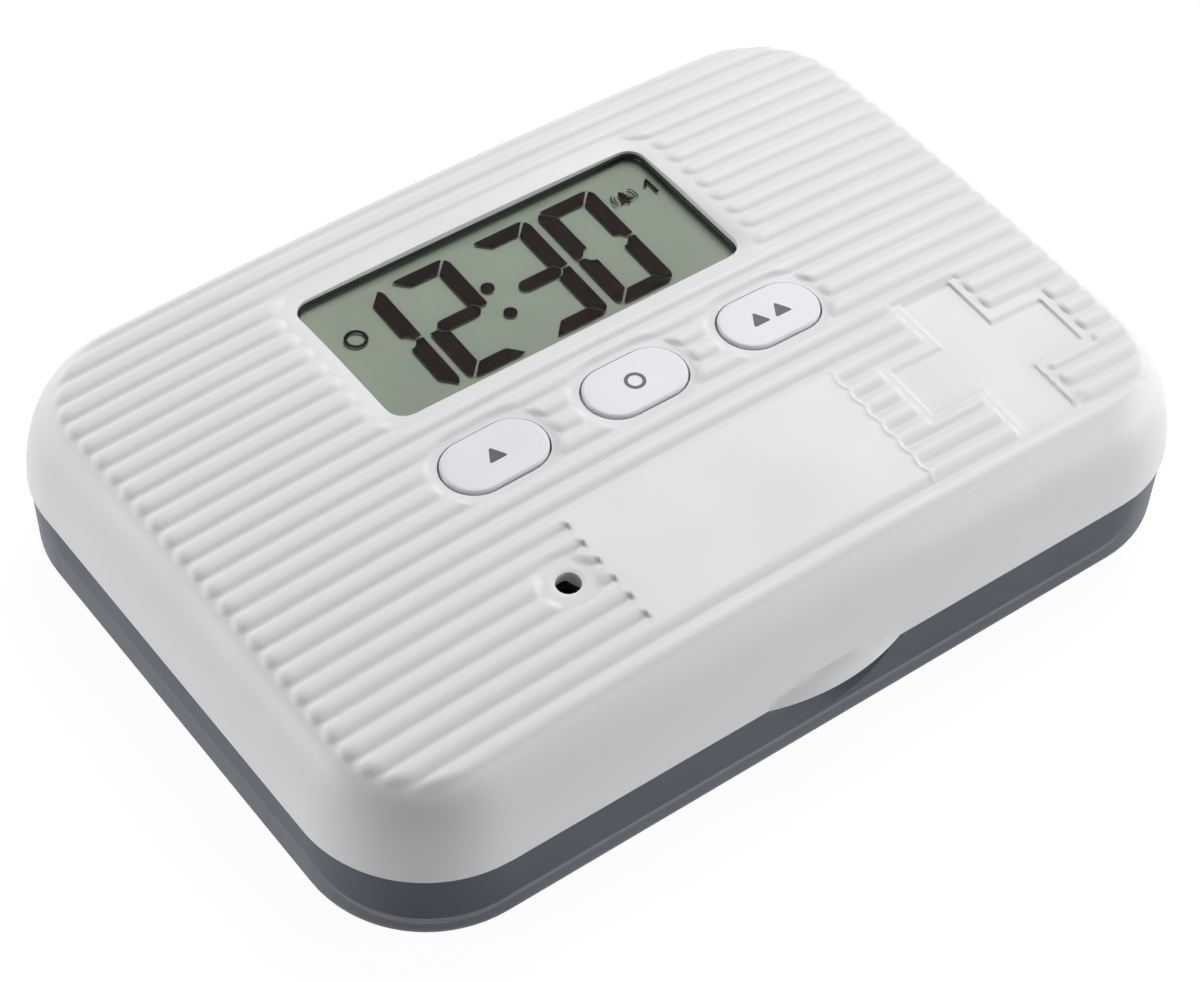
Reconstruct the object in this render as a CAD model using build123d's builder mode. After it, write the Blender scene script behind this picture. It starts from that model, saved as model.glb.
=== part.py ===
"""A pill box with an alarm clock built into its hinged lid.

X runs along the box, Y towards the hinge at the back and Z up. The origin is the middle of the
underside, on the table. All sizes are in millimetres. The lid is modelled closed.
"""
import os
from math import cos, radians, sin, sqrt, tan

from build123d import *

# ---- the whole box ----
LENGTH = 120.0
DEPTH = 86.0
CORNER = 16.0  # plan radius of the lid's corners
PARTING = 11.1  # height of the line between tray and lid
PARTING_GAP = 0.3
WALL = 1.5  # lid wall
FIT = 0.15  # between pieces that are pressed or screwed together
CLEAR = 0.3  # between pieces that move past each other

# ---- the lid's crowned form ----
CROWN_TOP = 25.4  # top of the smooth crown, between the beads
CROWN_RX = 772.0  # its radius along the box
CROWN_RY = 467.0  # its radius across the box
CROWN_REACH = 60.0  # half width of the crown's section
SIDE_STRAIGHT = 12.0  # the side walls are upright below this height
SIDE_TAPER = 8.0  # and lean in by this many degrees above it
SHOULDER = 6.5
ROOF_BEND = 17.0  # inside, the sides lean in by SIDE_TAPER below this height
ROOF_TAPER = 42.0  # and by this above it
ROOF_STEPS = 8
LID_BASE = PARTING + PARTING_GAP / 2
TRAY_RIM = PARTING - PARTING_GAP / 2
PRISM_TOP = 32.0  # where cutters end, clear above the lid
PLAIN_DEPTH = 0.06  # plain areas lie this far below the foot of the beads

# ---- beads across the crown ----
BEAD_ROWS = 27
BEAD_PITCH = 2.913
BEAD_FIRST = 38.75  # Y of the rearmost bead
BEAD_WIDTH = 1.9
BEAD_RISE = 0.45
BEAD_CREST = 0.8  # width of its top
BEAD_HEADROOM = 0.05  # the shoulder's rounding starts this far above the beads

# ---- what stands in the beads: window, buttons, sound hole, label pad, cross ----
WINDOW = (-0.2, 17.7)
WINDOW_SIZE = (50.0, 22.6)
WINDOW_CORNER = 2.4
WINDOW_LIP = 24.3  # height of the opening's edge
WINDOW_SLOPE = 2.0  # run for one unit of fall, around the opening
WINDOW_BORDER = (54.6, 26.2)
WINDOW_SEAT = 23.3  # flat underside round the opening
BUTTON_X = (-19.6, 0.0, 19.6)
BUTTON_Y = -4.65
BUTTON_SIZE = (13.4, 8.1)
BUTTON_COLLAR = 1.3
BUTTON_RISE = 0.5
BUTTON_TRAVEL = 0.8  # how far a button goes down
BUTTON_EDGE = 0.45
HOLE = (-23.4, -24.0)
HOLE_DIAMETER = 3.1
HOLE_COLLAR = 3.2
LABEL = (0.1, -24.3)
LABEL_SIZE = (39.4, 16.9)
LABEL_RISE = 0.5
PAD_ROOT = 22.0  # the pad is rooted inside the wall, above this height
LABEL_ROWS = (18, 25)  # beads beside the pad
CUP_RADIUS = 0.6  # rounded groove ends at the label pad
CROSS = (37.6, -23.5)
CROSS_LENGTH = 23.4
CROSS_ARM = 7.7
CROSS_DEPTH = 0.3
CROSS_BAND = 1.05
CROSS_BAND_TRIM = 0.85  # the band stops short of the beads above and below

# ---- finger lip on the lid and scoop in the tray ----
LIP_HALF = 9.5
LIP_OUT = 1.6
LIP_RADIUS = (LIP_HALF**2 + LIP_OUT**2) / (2 * LIP_OUT)
LIP_EDGE = 0.7
LIP_SLOPE = 50.0
SCOOP_SPHERE = 18.0
SCOOP_RIM = 10.5  # radius of the scoop's outline on the front wall
SCOOP_Z = 15.4
SCOOP_BACKING = 1.5

# ---- tray ----
TRAY_INSET = 0.3  # at the rim, inside the lid's outline
TRAY_TAPER = 1.5
TRAY_WALL = 1.6
FLOOR = 1.6
TRAY_EDGE = 2.0
BLOCK = (110.8, 77.2)  # the block of compartments, outside
BLOCK_CORNER = 11.5
BLOCK_WALL = 1.0
DIVIDER = 1.2
COLUMNS = 3
ROWS = 2
CELL_EDGE = 2.0

# ---- hinge ----
HINGE_Y = DEPTH / 2 + 0.5
HINGE_Z = PARTING
KNUCKLE_RADIUS = 2.4
PIN_RADIUS = 0.8
PIN_CLEAR = 0.06
HINGE_X = (-32.0, 32.0)
LID_KNUCKLE = 8.0
TRAY_KNUCKLE = 5.0
KNUCKLE_GAP = 0.3
LEAF_DROP = 6.0
LEAF_FOOT = 0.9  # the web's foot ends this far in front of the hinge line
LEAF_HEEL = 0.7  # and its heel meets the knuckle this far above or below it
LEAF_BITE = 0.12  # and lies this far inside the knuckle

# ---- inner cover, its latch tabs and its screws ----
INNER_THICK = 2.0
INNER_TOP = LID_BASE + INNER_THICK
TAB_X = 26.0
TAB_WIDTH = 6.4
SIDE_TAB_WIDTH = 7.0
TAB_THICK = 1.2
TAB_BOTTOM = 4.6
TAB_NOSE = 0.25  # how far its nose stands out
TAB_NOSE_RAMP = 2.0  # heights above the tab's foot: where the nose begins,
TAB_NOSE_HIGH = 1.4  # where it stands out in full,
TAB_NOSE_LOW = 0.8  # and where its lead-in starts
TAB_LEAD = 0.3  # the foot is this much thinner
FRONT_TAB_Y = -39.9
SIDE_TAB_X = 56.9
SCREW_SPOTS = ((-50.0, -31.0), (50.0, -31.0), (-50.0, 31.0), (50.0, 31.0))
BOSS_RADIUS = 2.6
SCREW_RADIUS = 1.0
SCREW_HEAD_RADIUS = 1.9
SCREW_HEAD = 1.2
SCREW_LENGTH = 7.0
SCREW_PLAY = 0.03  # between the shank and its bore
SMALL_SIDES = 12  # small repeated rounds have this many flat sides

# ---- clock: board, display, keys ----
BOARD = (68.0, 44.5)
BOARD_CENTRE = (0.0, 10.75)
BOARD_TOP = 17.8
BOARD_THICK = 1.0
BOARD_CORNER = 1.0
BOARD_SPOTS = ((-31.5, -8.8), (31.5, -8.8), (-31.5, 30.3), (31.5, 30.3))
BOARD_BOSS = 2.2
BOARD_SCREW_LENGTH = 4.0
BEZEL_LINING = 0.35
BEZEL_TOP = 23.9
BEZEL_FLANGE = (53.6, 26.2)
SEAT_MARGIN = 0.5  # the cover's flat seat is this much larger than the bezel's flange
LENS = (52.0, 24.6)
LENS_THICK = 0.6
LENS_TOP = 23.1
PANEL = (51.0, 24.0)
PANEL_THICK = 2.0
HOLDER_HOLE = (51.4, 24.4)
STRIP = (46.0, 2.0)
STRIP_FORWARD = 10.4  # from the window's middle to the strip
PAD_SIZE = (58.0, 11.4)
PAD_THICK = 0.8
DOME_RADIUS = 3.4
DOME_WALL = 0.9
DOME_TAPER = 25.0
CAP_BOTTOM = 21.0
CAP_FLANGE = 0.8
CAP_LEDGE = 1.0  # the flange stands out this far
CAP_FOOT = (9.0, 5.0)
DOME_TOP = CAP_BOTTOM - BUTTON_TRAVEL - CLEAR
PILL_RADIUS = 1.3
PILL_THICK = 0.5
PILL_LIFT = 0.9  # from the board up to the pill
CHIP = (8.0, 20.0)
CHIP_RADIUS = 6.0
CHIP_HEIGHT = 1.6
CHIP_EDGE = 1.2
CRYSTAL = (-12.0, 24.0)
CRYSTAL_RADIUS = 1.0
CRYSTAL_LENGTH = 6.0
CRYSTAL_GAP = 0.05

# ---- buzzer ----
BUZZER = (-25.2, -24.0)
BUZZER_RADIUS = 6.0
BUZZER_BOTTOM = 18.0
BUZZER_TOP = 22.4
BUZZER_WALL = 0.7
PORT_RADIUS = 1.0
DISC_LIFT = 1.0  # of the brass disc above the can's mouth
DISC_THICK = 0.4
RING_BOTTOM = 17.5
RING_WALL = 0.8

# ---- battery bay ----
BAY_Y = -19.0
BAY_START = -16.6
BAY_END = 34.2
BAY_HALF = 5.6
BAY_WALL = 1.0
BAY_TOP = 19.5
BATTERY_RADIUS = 5.25
BATTERY_START = -11.5
BATTERY_BODY = 43.6
BATTERY_NUB = 0.8
BATTERY_NUB_RADIUS = 1.9
BATTERY_Z = 17.5
CONTACT_PLATE = (8.0, 5.4)
CONTACT_THICK = 0.4
SPRING_WIRE = 0.25  # radius
SPRING_RADIUS = 2.4
SPRING_TURNS = 3
SPRING_SIDES = 4
DOOR = (54.4, 14.4)
DOOR_THICK = 0.8
DOOR_START = -18.6
DOOR_SLIDE = 3.0
GRIP_GROOVES = 4  # across the door, for a fingertip
GRIP_GROOVE = (1.0, 9.0)
GRIP_PITCH = 2.0
GRIP_DEPTH = 0.3
GRIP_X = -12.0

PARTS = "parts"


def crown_fall(y):
    """How far the crown falls between its middle line and a distance y across the box."""
    return CROWN_RY - sqrt(CROWN_RY**2 - y**2)


def crown_height(x, y):
    """Height of the smooth crown over a point of the plan."""
    return CROWN_TOP - crown_fall(y) - x**2 / (2 * CROWN_RX)


# The crown is an arc across the box turned about an axis far below it. Its section is drawn on a
# plane through that axis, half the span to the left of the middle.
CROWN_SPAN = 12.0
CROWN_AXIS = Axis((0, 0, CROWN_TOP - CROWN_RX), (0, 1, 0))
CROWN_PLANE = Plane(
    origin=(0, 0, CROWN_TOP - CROWN_RX),
    x_dir=(0, 1, 0),
    z_dir=(cos(radians(CROWN_SPAN / 2)), 0, sin(radians(CROWN_SPAN / 2))),
)


def save(piece, name):
    """Label a finished piece and write it."""
    piece.part.label = name
    export_step(piece.part, f"{PARTS}/{name}.step")


def crown_point(y, rise=0.0):
    """A point of the crown's section on its plane: Y across the box, then the radius."""
    return (y, CROWN_RX - crown_fall(y) + rise)


def turn_section(outline, mode):
    """Turn the solid below an outline of the crown, drawn from +Y to -Y, into or out of the open part."""
    low = CROWN_RX - 2 * CROWN_REACH
    with BuildSketch(CROWN_PLANE) as section:
        with BuildLine():
            Polyline(*outline, (-CROWN_REACH, low), (CROWN_REACH, low), close=True)
        make_face()
    revolve(section.sketch, axis=CROWN_AXIS, revolution_arc=CROWN_SPAN, mode=mode)


def turn_crown(rise, mode):
    """The same below the smooth crown, raised by rise."""
    end = CROWN_RX - crown_fall(CROWN_REACH) + rise
    low = CROWN_RX - 2 * CROWN_REACH
    with BuildSketch(CROWN_PLANE) as section:
        with BuildLine():
            ThreePointArc((-CROWN_REACH, end), (0, CROWN_RX + rise), (CROWN_REACH, end))
            Polyline((CROWN_REACH, end), (CROWN_REACH, low), (-CROWN_REACH, low), (-CROWN_REACH, end))
        make_face()
    revolve(section.sketch, axis=CROWN_AXIS, revolution_arc=CROWN_SPAN, mode=mode)


def beaded_crown():
    """Outline of the crown with every bead on it, each with sloping flanks and a narrow crest."""
    foot, crest = BEAD_WIDTH / 2, BEAD_CREST / 2
    outline = [crown_point(CROWN_REACH)]
    for row in range(BEAD_ROWS):
        y = BEAD_FIRST - row * BEAD_PITCH
        outline += [
            crown_point(y + foot),
            crown_point(y + crest, BEAD_RISE),
            crown_point(y - crest, BEAD_RISE),
            crown_point(y - foot),
        ]
    return outline + [crown_point(-CROWN_REACH)]


def roof_crown():
    """Outline of the hollow's roof: the crown in short straight steps, one wall below it."""
    step = 2 * CROWN_REACH / ROOF_STEPS
    return [crown_point(CROWN_REACH - index * step, -WALL) for index in range(ROOF_STEPS + 1)]


def lid_plan(inset, height):
    """The lid's plan, moved in by inset, on a height."""
    with BuildSketch(Plane.XY.offset(height)) as plan:
        RectangleRounded(LENGTH - 2 * inset, DEPTH - 2 * inset, CORNER - inset)
    return plan.sketch


def lid_form():
    """The lid's outer form as a solid: leaning sides and a rounded shoulder just above the beads."""
    with BuildPart() as form:
        extrude(lid_plan(0.0, LID_BASE), amount=SIDE_STRAIGHT - LID_BASE)
        extrude(lid_plan(0.0, SIDE_STRAIGHT), amount=PRISM_TOP - SIDE_STRAIGHT, taper=SIDE_TAPER)
        turn_crown(BEAD_RISE + BEAD_HEADROOM, Mode.INTERSECT)
        crown = form.faces().sort_by(Axis.Z)[-1]
        fillet(crown.edges(), SHOULDER)
        turn_section(beaded_crown(), Mode.INTERSECT)
    return form.part


def stadium(size, grow=0.0):
    """A rectangle with fully rounded ends, grown by grow on every side."""
    width, height = size[0] + 2 * grow, size[1] + 2 * grow
    SlotOverall(width, height)


def small_round(radius):
    """A small repeated round, such as a screw or its bore, drawn with a few flat sides."""
    RegularPolygon(radius, SMALL_SIDES)


def cross_arms(grow, trim=0.0):
    """The two bars of the cross, grown by grow on every side but trimmed at their Y ends."""
    with Locations(CROSS):
        Rectangle(CROSS_LENGTH + 2 * grow, CROSS_ARM + 2 * grow)
        Rectangle(CROSS_ARM + 2 * grow, CROSS_LENGTH + 2 * grow - 2 * trim)


def plain_areas():
    """Cutter that takes the beads away round the window, the buttons, the sound hole and the cross."""
    with BuildPart() as cutter:
        with BuildSketch(Plane.XY.offset(SIDE_STRAIGHT)):
            with Locations(WINDOW):
                RectangleRounded(*WINDOW_BORDER, WINDOW_CORNER)
            with Locations(*[(x, BUTTON_Y) for x in BUTTON_X]):
                stadium(BUTTON_SIZE, BUTTON_COLLAR)
            with Locations(HOLE):
                Circle(HOLE_COLLAR)
            cross_arms(CROSS_BAND, CROSS_BAND_TRIM)
        extrude(amount=PRISM_TOP - SIDE_STRAIGHT)
        turn_crown(-PLAIN_DEPTH, Mode.SUBTRACT)
    return cutter.part


def label_pad():
    """The plain raised pad for a label, with the rounded ends of the grooves cut into its sides."""
    with BuildPart() as pad:
        with BuildSketch(Plane.XY.offset(PAD_ROOT)):
            with Locations(LABEL):
                Rectangle(*LABEL_SIZE)
            for row in range(LABEL_ROWS[0], LABEL_ROWS[1]):
                groove = BEAD_FIRST - (row + 0.5) * BEAD_PITCH
                with Locations(*[(LABEL[0] + side * LABEL_SIZE[0] / 2, groove) for side in (-1, 1)]):
                    Circle(CUP_RADIUS, mode=Mode.SUBTRACT)
        extrude(amount=PRISM_TOP - PAD_ROOT)
        turn_crown(LABEL_RISE, Mode.INTERSECT)
    return pad.part


def cross_recess():
    """Cutter for the cross: its bars, down to a floor just below the crown."""
    with BuildPart() as cutter:
        with BuildSketch(Plane.XY.offset(SIDE_STRAIGHT)):
            cross_arms(0.0)
        extrude(amount=PRISM_TOP - SIDE_STRAIGHT)
        turn_crown(-CROSS_DEPTH, Mode.SUBTRACT)
    return cutter.part


def lid_cavity():
    """The hollow of the lid, less the bosses and seats that hang from its roof."""
    with BuildPart() as hollow:
        extrude(lid_plan(WALL, LID_BASE), amount=SIDE_STRAIGHT - LID_BASE)
        extrude(lid_plan(WALL, SIDE_STRAIGHT), amount=ROOF_BEND - SIDE_STRAIGHT, taper=SIDE_TAPER)
        bend = WALL + (ROOF_BEND - SIDE_STRAIGHT) * tan(radians(SIDE_TAPER))
        extrude(lid_plan(bend, ROOF_BEND), amount=PRISM_TOP - ROOF_BEND, taper=ROOF_TAPER)
        turn_section(roof_crown(), Mode.INTERSECT)
        with BuildSketch(Plane.XY.offset(INNER_TOP)):
            with Locations(*SCREW_SPOTS):
                small_round(BOSS_RADIUS)
        extrude(amount=PRISM_TOP - INNER_TOP, mode=Mode.SUBTRACT)
        with BuildSketch(Plane.XY.offset(BOARD_TOP)):
            with Locations(*BOARD_SPOTS):
                small_round(BOARD_BOSS)
        extrude(amount=PRISM_TOP - BOARD_TOP, mode=Mode.SUBTRACT)
        with BuildSketch(Plane.XY.offset(WINDOW_SEAT)) as seat:
            with Locations(WINDOW):
                Rectangle(BEZEL_FLANGE[0] + 2 * SEAT_MARGIN, BEZEL_FLANGE[1] + 2 * SEAT_MARGIN)
        extrude(seat.sketch, amount=BOARD_TOP - WINDOW_SEAT)
        extrude(seat.sketch, amount=PRISM_TOP - WINDOW_SEAT, mode=Mode.SUBTRACT)
        with BuildSketch(Plane.XY.offset(RING_BOTTOM)):
            with Locations(BUZZER):
                Circle(BUZZER_RADIUS + 2 * FIT + RING_WALL)
                Circle(BUZZER_RADIUS + 2 * FIT, mode=Mode.SUBTRACT)
        extrude(amount=PRISM_TOP - RING_BOTTOM, mode=Mode.SUBTRACT)
    return hollow.part


def hinge_prism(start, width, radius, mode=Mode.ADD):
    """A cylinder on the hinge line, from X start, in the open part."""
    with BuildSketch(Plane.YZ.offset(start)) as section:
        with Locations((HINGE_Y, HINGE_Z)):
            Circle(radius)
    extrude(section.sketch, amount=width, mode=mode)


def tray_knuckle_starts(hinge_x):
    """X of the near end of the two tray knuckles of one hinge."""
    reach = LID_KNUCKLE / 2 + KNUCKLE_GAP
    return (hinge_x - reach - TRAY_KNUCKLE, hinge_x + reach)


def leaf(start, width, direction):
    """The web that joins a knuckle to its wall: down (-1) for the tray, up (1) for the lid."""
    wall_y = DEPTH / 2 - TRAY_INSET - TRAY_WALL / 2
    with BuildSketch(Plane.YZ.offset(start)) as section:
        with BuildLine():
            Polyline(
                (wall_y, HINGE_Z),
                (wall_y, HINGE_Z + direction * LEAF_DROP),
                (HINGE_Y - LEAF_FOOT, HINGE_Z + direction * LEAF_DROP),
                (HINGE_Y + KNUCKLE_RADIUS - LEAF_BITE, HINGE_Z + direction * LEAF_HEEL),
                (HINGE_Y, HINGE_Z),
                close=True,
            )
        make_face()
    extrude(section.sketch, amount=width)


# ---------------------------------------------------------------- tray
def make_tray():
    """Grey translucent tray: outer wall, latch channel, six compartments and two pairs of knuckles."""
    rim = (LENGTH - 2 * TRAY_INSET, DEPTH - 2 * TRAY_INSET)
    lean = TRAY_RIM * sin(radians(TRAY_TAPER))
    with BuildPart() as tray:
        with BuildSketch():
            RectangleRounded(rim[0] - 2 * lean, rim[1] - 2 * lean, CORNER - TRAY_INSET - lean)
        extrude(amount=TRAY_RIM, taper=-TRAY_TAPER)
        fillet(tray.faces().sort_by(Axis.Z)[0].edges(), TRAY_EDGE)
        with BuildSketch(Plane.XY.offset(FLOOR)):
            RectangleRounded(
                rim[0] - 2 * TRAY_WALL - lean, rim[1] - 2 * TRAY_WALL - lean, CORNER - TRAY_INSET - TRAY_WALL
            )
        extrude(amount=TRAY_RIM - FLOOR, mode=Mode.SUBTRACT)
        with BuildSketch(Plane.XY.offset(FLOOR)):
            RectangleRounded(*BLOCK, BLOCK_CORNER)
        extrude(amount=TRAY_RIM - FLOOR)
        add(compartments(), mode=Mode.SUBTRACT)
        scoop_centre = (0, -DEPTH / 2 + TRAY_INSET - sqrt(SCOOP_SPHERE**2 - SCOOP_RIM**2), SCOOP_Z)
        add(scoop_backing(scoop_centre))
        with Locations(scoop_centre):
            Sphere(SCOOP_SPHERE, mode=Mode.SUBTRACT)
        for x in HINGE_X:
            hinge_prism(x - LID_KNUCKLE / 2 - KNUCKLE_GAP, LID_KNUCKLE + 2 * KNUCKLE_GAP,
                        KNUCKLE_RADIUS + CLEAR, Mode.SUBTRACT)
            for start in tray_knuckle_starts(x):
                leaf(start, TRAY_KNUCKLE, -1)
                hinge_prism(start, TRAY_KNUCKLE, KNUCKLE_RADIUS)
                hinge_prism(start, TRAY_KNUCKLE, PIN_RADIUS, Mode.SUBTRACT)
    return tray


def compartments():
    """The six pill spaces, with rounded floors."""
    inner = (BLOCK[0] - 2 * BLOCK_WALL, BLOCK[1] - 2 * BLOCK_WALL)
    column = (inner[0] - (COLUMNS - 1) * DIVIDER) / COLUMNS
    row = (inner[1] - (ROWS - 1) * DIVIDER) / ROWS
    with BuildPart() as cells:
        with BuildSketch(Plane.XY.offset(FLOOR)):
            with GridLocations(column + DIVIDER, row + DIVIDER, COLUMNS, ROWS):
                RectangleRounded(column, row, CELL_EDGE)
            RectangleRounded(*inner, BLOCK_CORNER - BLOCK_WALL, mode=Mode.INTERSECT)
        extrude(amount=TRAY_RIM - FLOOR)
        chamfer(cells.faces().group_by(Axis.Z)[0].edges(), CELL_EDGE - 0.2)
    return cells.part


def scoop_backing(centre):
    """The bulge behind the finger scoop, between the front wall and the compartments."""
    front = DEPTH / 2 - TRAY_INSET - TRAY_WALL / 2
    back = (BLOCK[1] - BLOCK_WALL) / 2
    with BuildPart() as bulge:
        with Locations(centre):
            Sphere(SCOOP_SPHERE + SCOOP_BACKING)
        with BuildSketch(Plane.XY.offset(FLOOR)):
            with Locations((0, -front)):
                Rectangle(4 * SCOOP_RIM, front - back, align=(Align.CENTER, Align.MIN))
        extrude(amount=TRAY_RIM - FLOOR, mode=Mode.INTERSECT)
    return bulge.part


# ---------------------------------------------------------------- lid
def make_lid_cover():
    """White ribbed cover with its bosses, window, key holes, finger lip and hinge knuckles."""
    with BuildPart() as cover:
        add(lid_form())
        add(plain_areas(), mode=Mode.SUBTRACT)
        add(label_pad())
        add(lid_cavity(), mode=Mode.SUBTRACT)
        add(cross_recess(), mode=Mode.SUBTRACT)
        with BuildSketch(Plane.XY.offset(WINDOW_LIP)):
            with Locations(WINDOW):
                RectangleRounded(*WINDOW_SIZE, WINDOW_CORNER)
        with BuildSketch(Plane.XY.offset(WINDOW_LIP + 2)):
            with Locations(WINDOW):
                RectangleRounded(WINDOW_SIZE[0] + 4 * WINDOW_SLOPE, WINDOW_SIZE[1] + 4 * WINDOW_SLOPE,
                                 WINDOW_CORNER + 2 * WINDOW_SLOPE)
        loft(mode=Mode.SUBTRACT)
        with BuildSketch(Plane.XY.offset(LID_BASE)):
            with Locations(WINDOW):
                RectangleRounded(*WINDOW_SIZE, WINDOW_CORNER)
            with Locations(*[(x, BUTTON_Y) for x in BUTTON_X]):
                stadium(BUTTON_SIZE, CLEAR)
            with Locations(HOLE):
                Circle(HOLE_DIAMETER / 2)
        extrude(amount=PRISM_TOP - LID_BASE, mode=Mode.SUBTRACT)
        with BuildSketch(Plane.XY.offset(INNER_TOP)):
            with Locations(*SCREW_SPOTS):
                small_round(SCREW_RADIUS + SCREW_PLAY)
        extrude(amount=SCREW_LENGTH, mode=Mode.SUBTRACT)
        with BuildSketch(Plane.XY.offset(BOARD_TOP)):
            with Locations(*BOARD_SPOTS):
                small_round(SCREW_RADIUS + SCREW_PLAY)
        extrude(amount=BOARD_SCREW_LENGTH, mode=Mode.SUBTRACT)
        add(finger_lip())
        for x in HINGE_X:
            for start in tray_knuckle_starts(x):
                hinge_prism(start - KNUCKLE_GAP, TRAY_KNUCKLE + 2 * KNUCKLE_GAP,
                            KNUCKLE_RADIUS + CLEAR, Mode.SUBTRACT)
            start = x - LID_KNUCKLE / 2
            leaf(start, LID_KNUCKLE, 1)
            hinge_prism(start, LID_KNUCKLE, KNUCKLE_RADIUS)
            hinge_prism(start, LID_KNUCKLE, PIN_RADIUS + PIN_CLEAR, Mode.SUBTRACT)
    return cover


def finger_lip():
    """The thumb lip: a shallow lens along the front edge that fades up into the wall."""
    with BuildPart() as lip:
        with BuildSketch(Plane.XY.offset(LID_BASE)):
            with Locations((0, -DEPTH / 2 - LIP_OUT + LIP_RADIUS)):
                Circle(LIP_RADIUS)
            with Locations((0, -DEPTH / 2 - LIP_OUT)):
                Rectangle(2 * LIP_HALF, 2 * (LIP_OUT + WALL / 2), mode=Mode.INTERSECT)
        extrude(amount=LIP_EDGE)
        top = lip.faces().sort_by(Axis.Z)[-1]
        extrude(top, amount=LIP_OUT, taper=LIP_SLOPE)
    return lip.part


def make_inner_cover():
    """Flat cover under the clock: latch tabs, screw holes and the battery bay."""
    reach = WALL + 2 * FIT
    with BuildPart() as inner:
        with BuildSketch(Plane.XY.offset(LID_BASE)):
            RectangleRounded(LENGTH - 2 * reach, DEPTH - 2 * reach, CORNER - reach)
            with Locations(*SCREW_SPOTS):
                RegularPolygon(SCREW_RADIUS + FIT, SMALL_SIDES, mode=Mode.SUBTRACT)
        extrude(amount=INNER_THICK)
        with BuildSketch(Plane.XY.offset(LID_BASE)):
            with Locations(*SCREW_SPOTS):
                small_round(SCREW_HEAD_RADIUS + 2 * FIT)
        extrude(amount=SCREW_HEAD, mode=Mode.SUBTRACT)
        bay_middle = ((BAY_START + BAY_END) / 2, BAY_Y)
        bay = (BAY_END - BAY_START, 2 * BAY_HALF)
        with BuildSketch(Plane.XY.offset(INNER_TOP)):
            with Locations(bay_middle):
                Rectangle(bay[0] + 2 * BAY_WALL, bay[1] + 2 * BAY_WALL)
        extrude(amount=BAY_TOP - INNER_TOP)
        with BuildSketch(Plane.XY.offset(LID_BASE)):
            with Locations(bay_middle):
                Rectangle(*bay)
        extrude(amount=BAY_TOP - LID_BASE, mode=Mode.SUBTRACT)
        with BuildSketch(Plane.XY.offset(LID_BASE)):
            with Locations((DOOR_START - CLEAR, BAY_Y)):
                Rectangle(DOOR[0] + DOOR_SLIDE + 2 * CLEAR, DOOR[1] + 2 * CLEAR, align=(Align.MIN, Align.CENTER))
        extrude(amount=DOOR_THICK + FIT, mode=Mode.SUBTRACT)
        for x in (-TAB_X, TAB_X):
            add(latch_tab(TAB_WIDTH, Plane((x, FRONT_TAB_Y, LID_BASE), x_dir=(1, 0, 0))))
        for side in (-1, 1):
            add(latch_tab(SIDE_TAB_WIDTH, Plane((side * SIDE_TAB_X, 0, LID_BASE), x_dir=(0, side, 0))))
        for x in HINGE_X:
            for start in tray_knuckle_starts(x):
                hinge_prism(start - KNUCKLE_GAP, TRAY_KNUCKLE + 2 * KNUCKLE_GAP,
                            KNUCKLE_RADIUS + CLEAR, Mode.SUBTRACT)
            hinge_prism(x - LID_KNUCKLE / 2 - FIT, LID_KNUCKLE + 2 * FIT, KNUCKLE_RADIUS + FIT, Mode.SUBTRACT)
    return inner


def latch_tab(width, plane):
    """A tab hanging from plane, whose local -Y is outwards, with a small nose at its foot."""
    drop = LID_BASE - TAB_BOTTOM
    face = -TAB_THICK / 2
    with BuildPart() as tab:
        with BuildSketch(Plane(plane.origin, x_dir=plane.y_dir, z_dir=plane.x_dir).offset(-width / 2)):
            with BuildLine():
                Polyline(
                    (face, 0),
                    (face, TAB_NOSE_RAMP - drop),
                    (face - TAB_NOSE, TAB_NOSE_HIGH - drop),
                    (face - TAB_NOSE, TAB_NOSE_LOW - drop),
                    (face + TAB_LEAD, -drop),
                    (-face, -drop),
                    (-face, 0),
                    close=True,
                )
            make_face()
        extrude(amount=width)
    return tab.part


def make_battery_door():
    """Sliding door under the cell, with grip grooves at its end."""
    with BuildPart() as door:
        with BuildSketch(Plane.XY.offset(LID_BASE)):
            with Locations((DOOR_START, BAY_Y)):
                Rectangle(*DOOR, align=(Align.MIN, Align.CENTER))
        extrude(amount=DOOR_THICK)
        with BuildSketch(Plane.XY.offset(LID_BASE)):
            with Locations((GRIP_X, BAY_Y)):
                with GridLocations(GRIP_PITCH, GRIP_PITCH, GRIP_GROOVES, 1):
                    Rectangle(*GRIP_GROOVE)
        extrude(amount=GRIP_DEPTH, mode=Mode.SUBTRACT)
    return door


def make_screws(spots, head_z, length):
    """A group of like screws, heads down, shanks up."""
    with BuildPart() as screws:
        with BuildSketch(Plane.XY.offset(head_z)):
            with Locations(*spots):
                small_round(SCREW_HEAD_RADIUS)
        extrude(amount=SCREW_HEAD)
        with BuildSketch(Plane.XY.offset(head_z + SCREW_HEAD)):
            with Locations(*spots):
                small_round(SCREW_RADIUS)
        extrude(amount=length)
    return screws


def make_hinge_pins():
    """Two steel pins, each through three knuckles."""
    length = LID_KNUCKLE + 2 * KNUCKLE_GAP + 2 * TRAY_KNUCKLE
    with BuildPart() as pins:
        for x in HINGE_X:
            hinge_prism(x - length / 2, length, PIN_RADIUS)
    return pins


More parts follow.
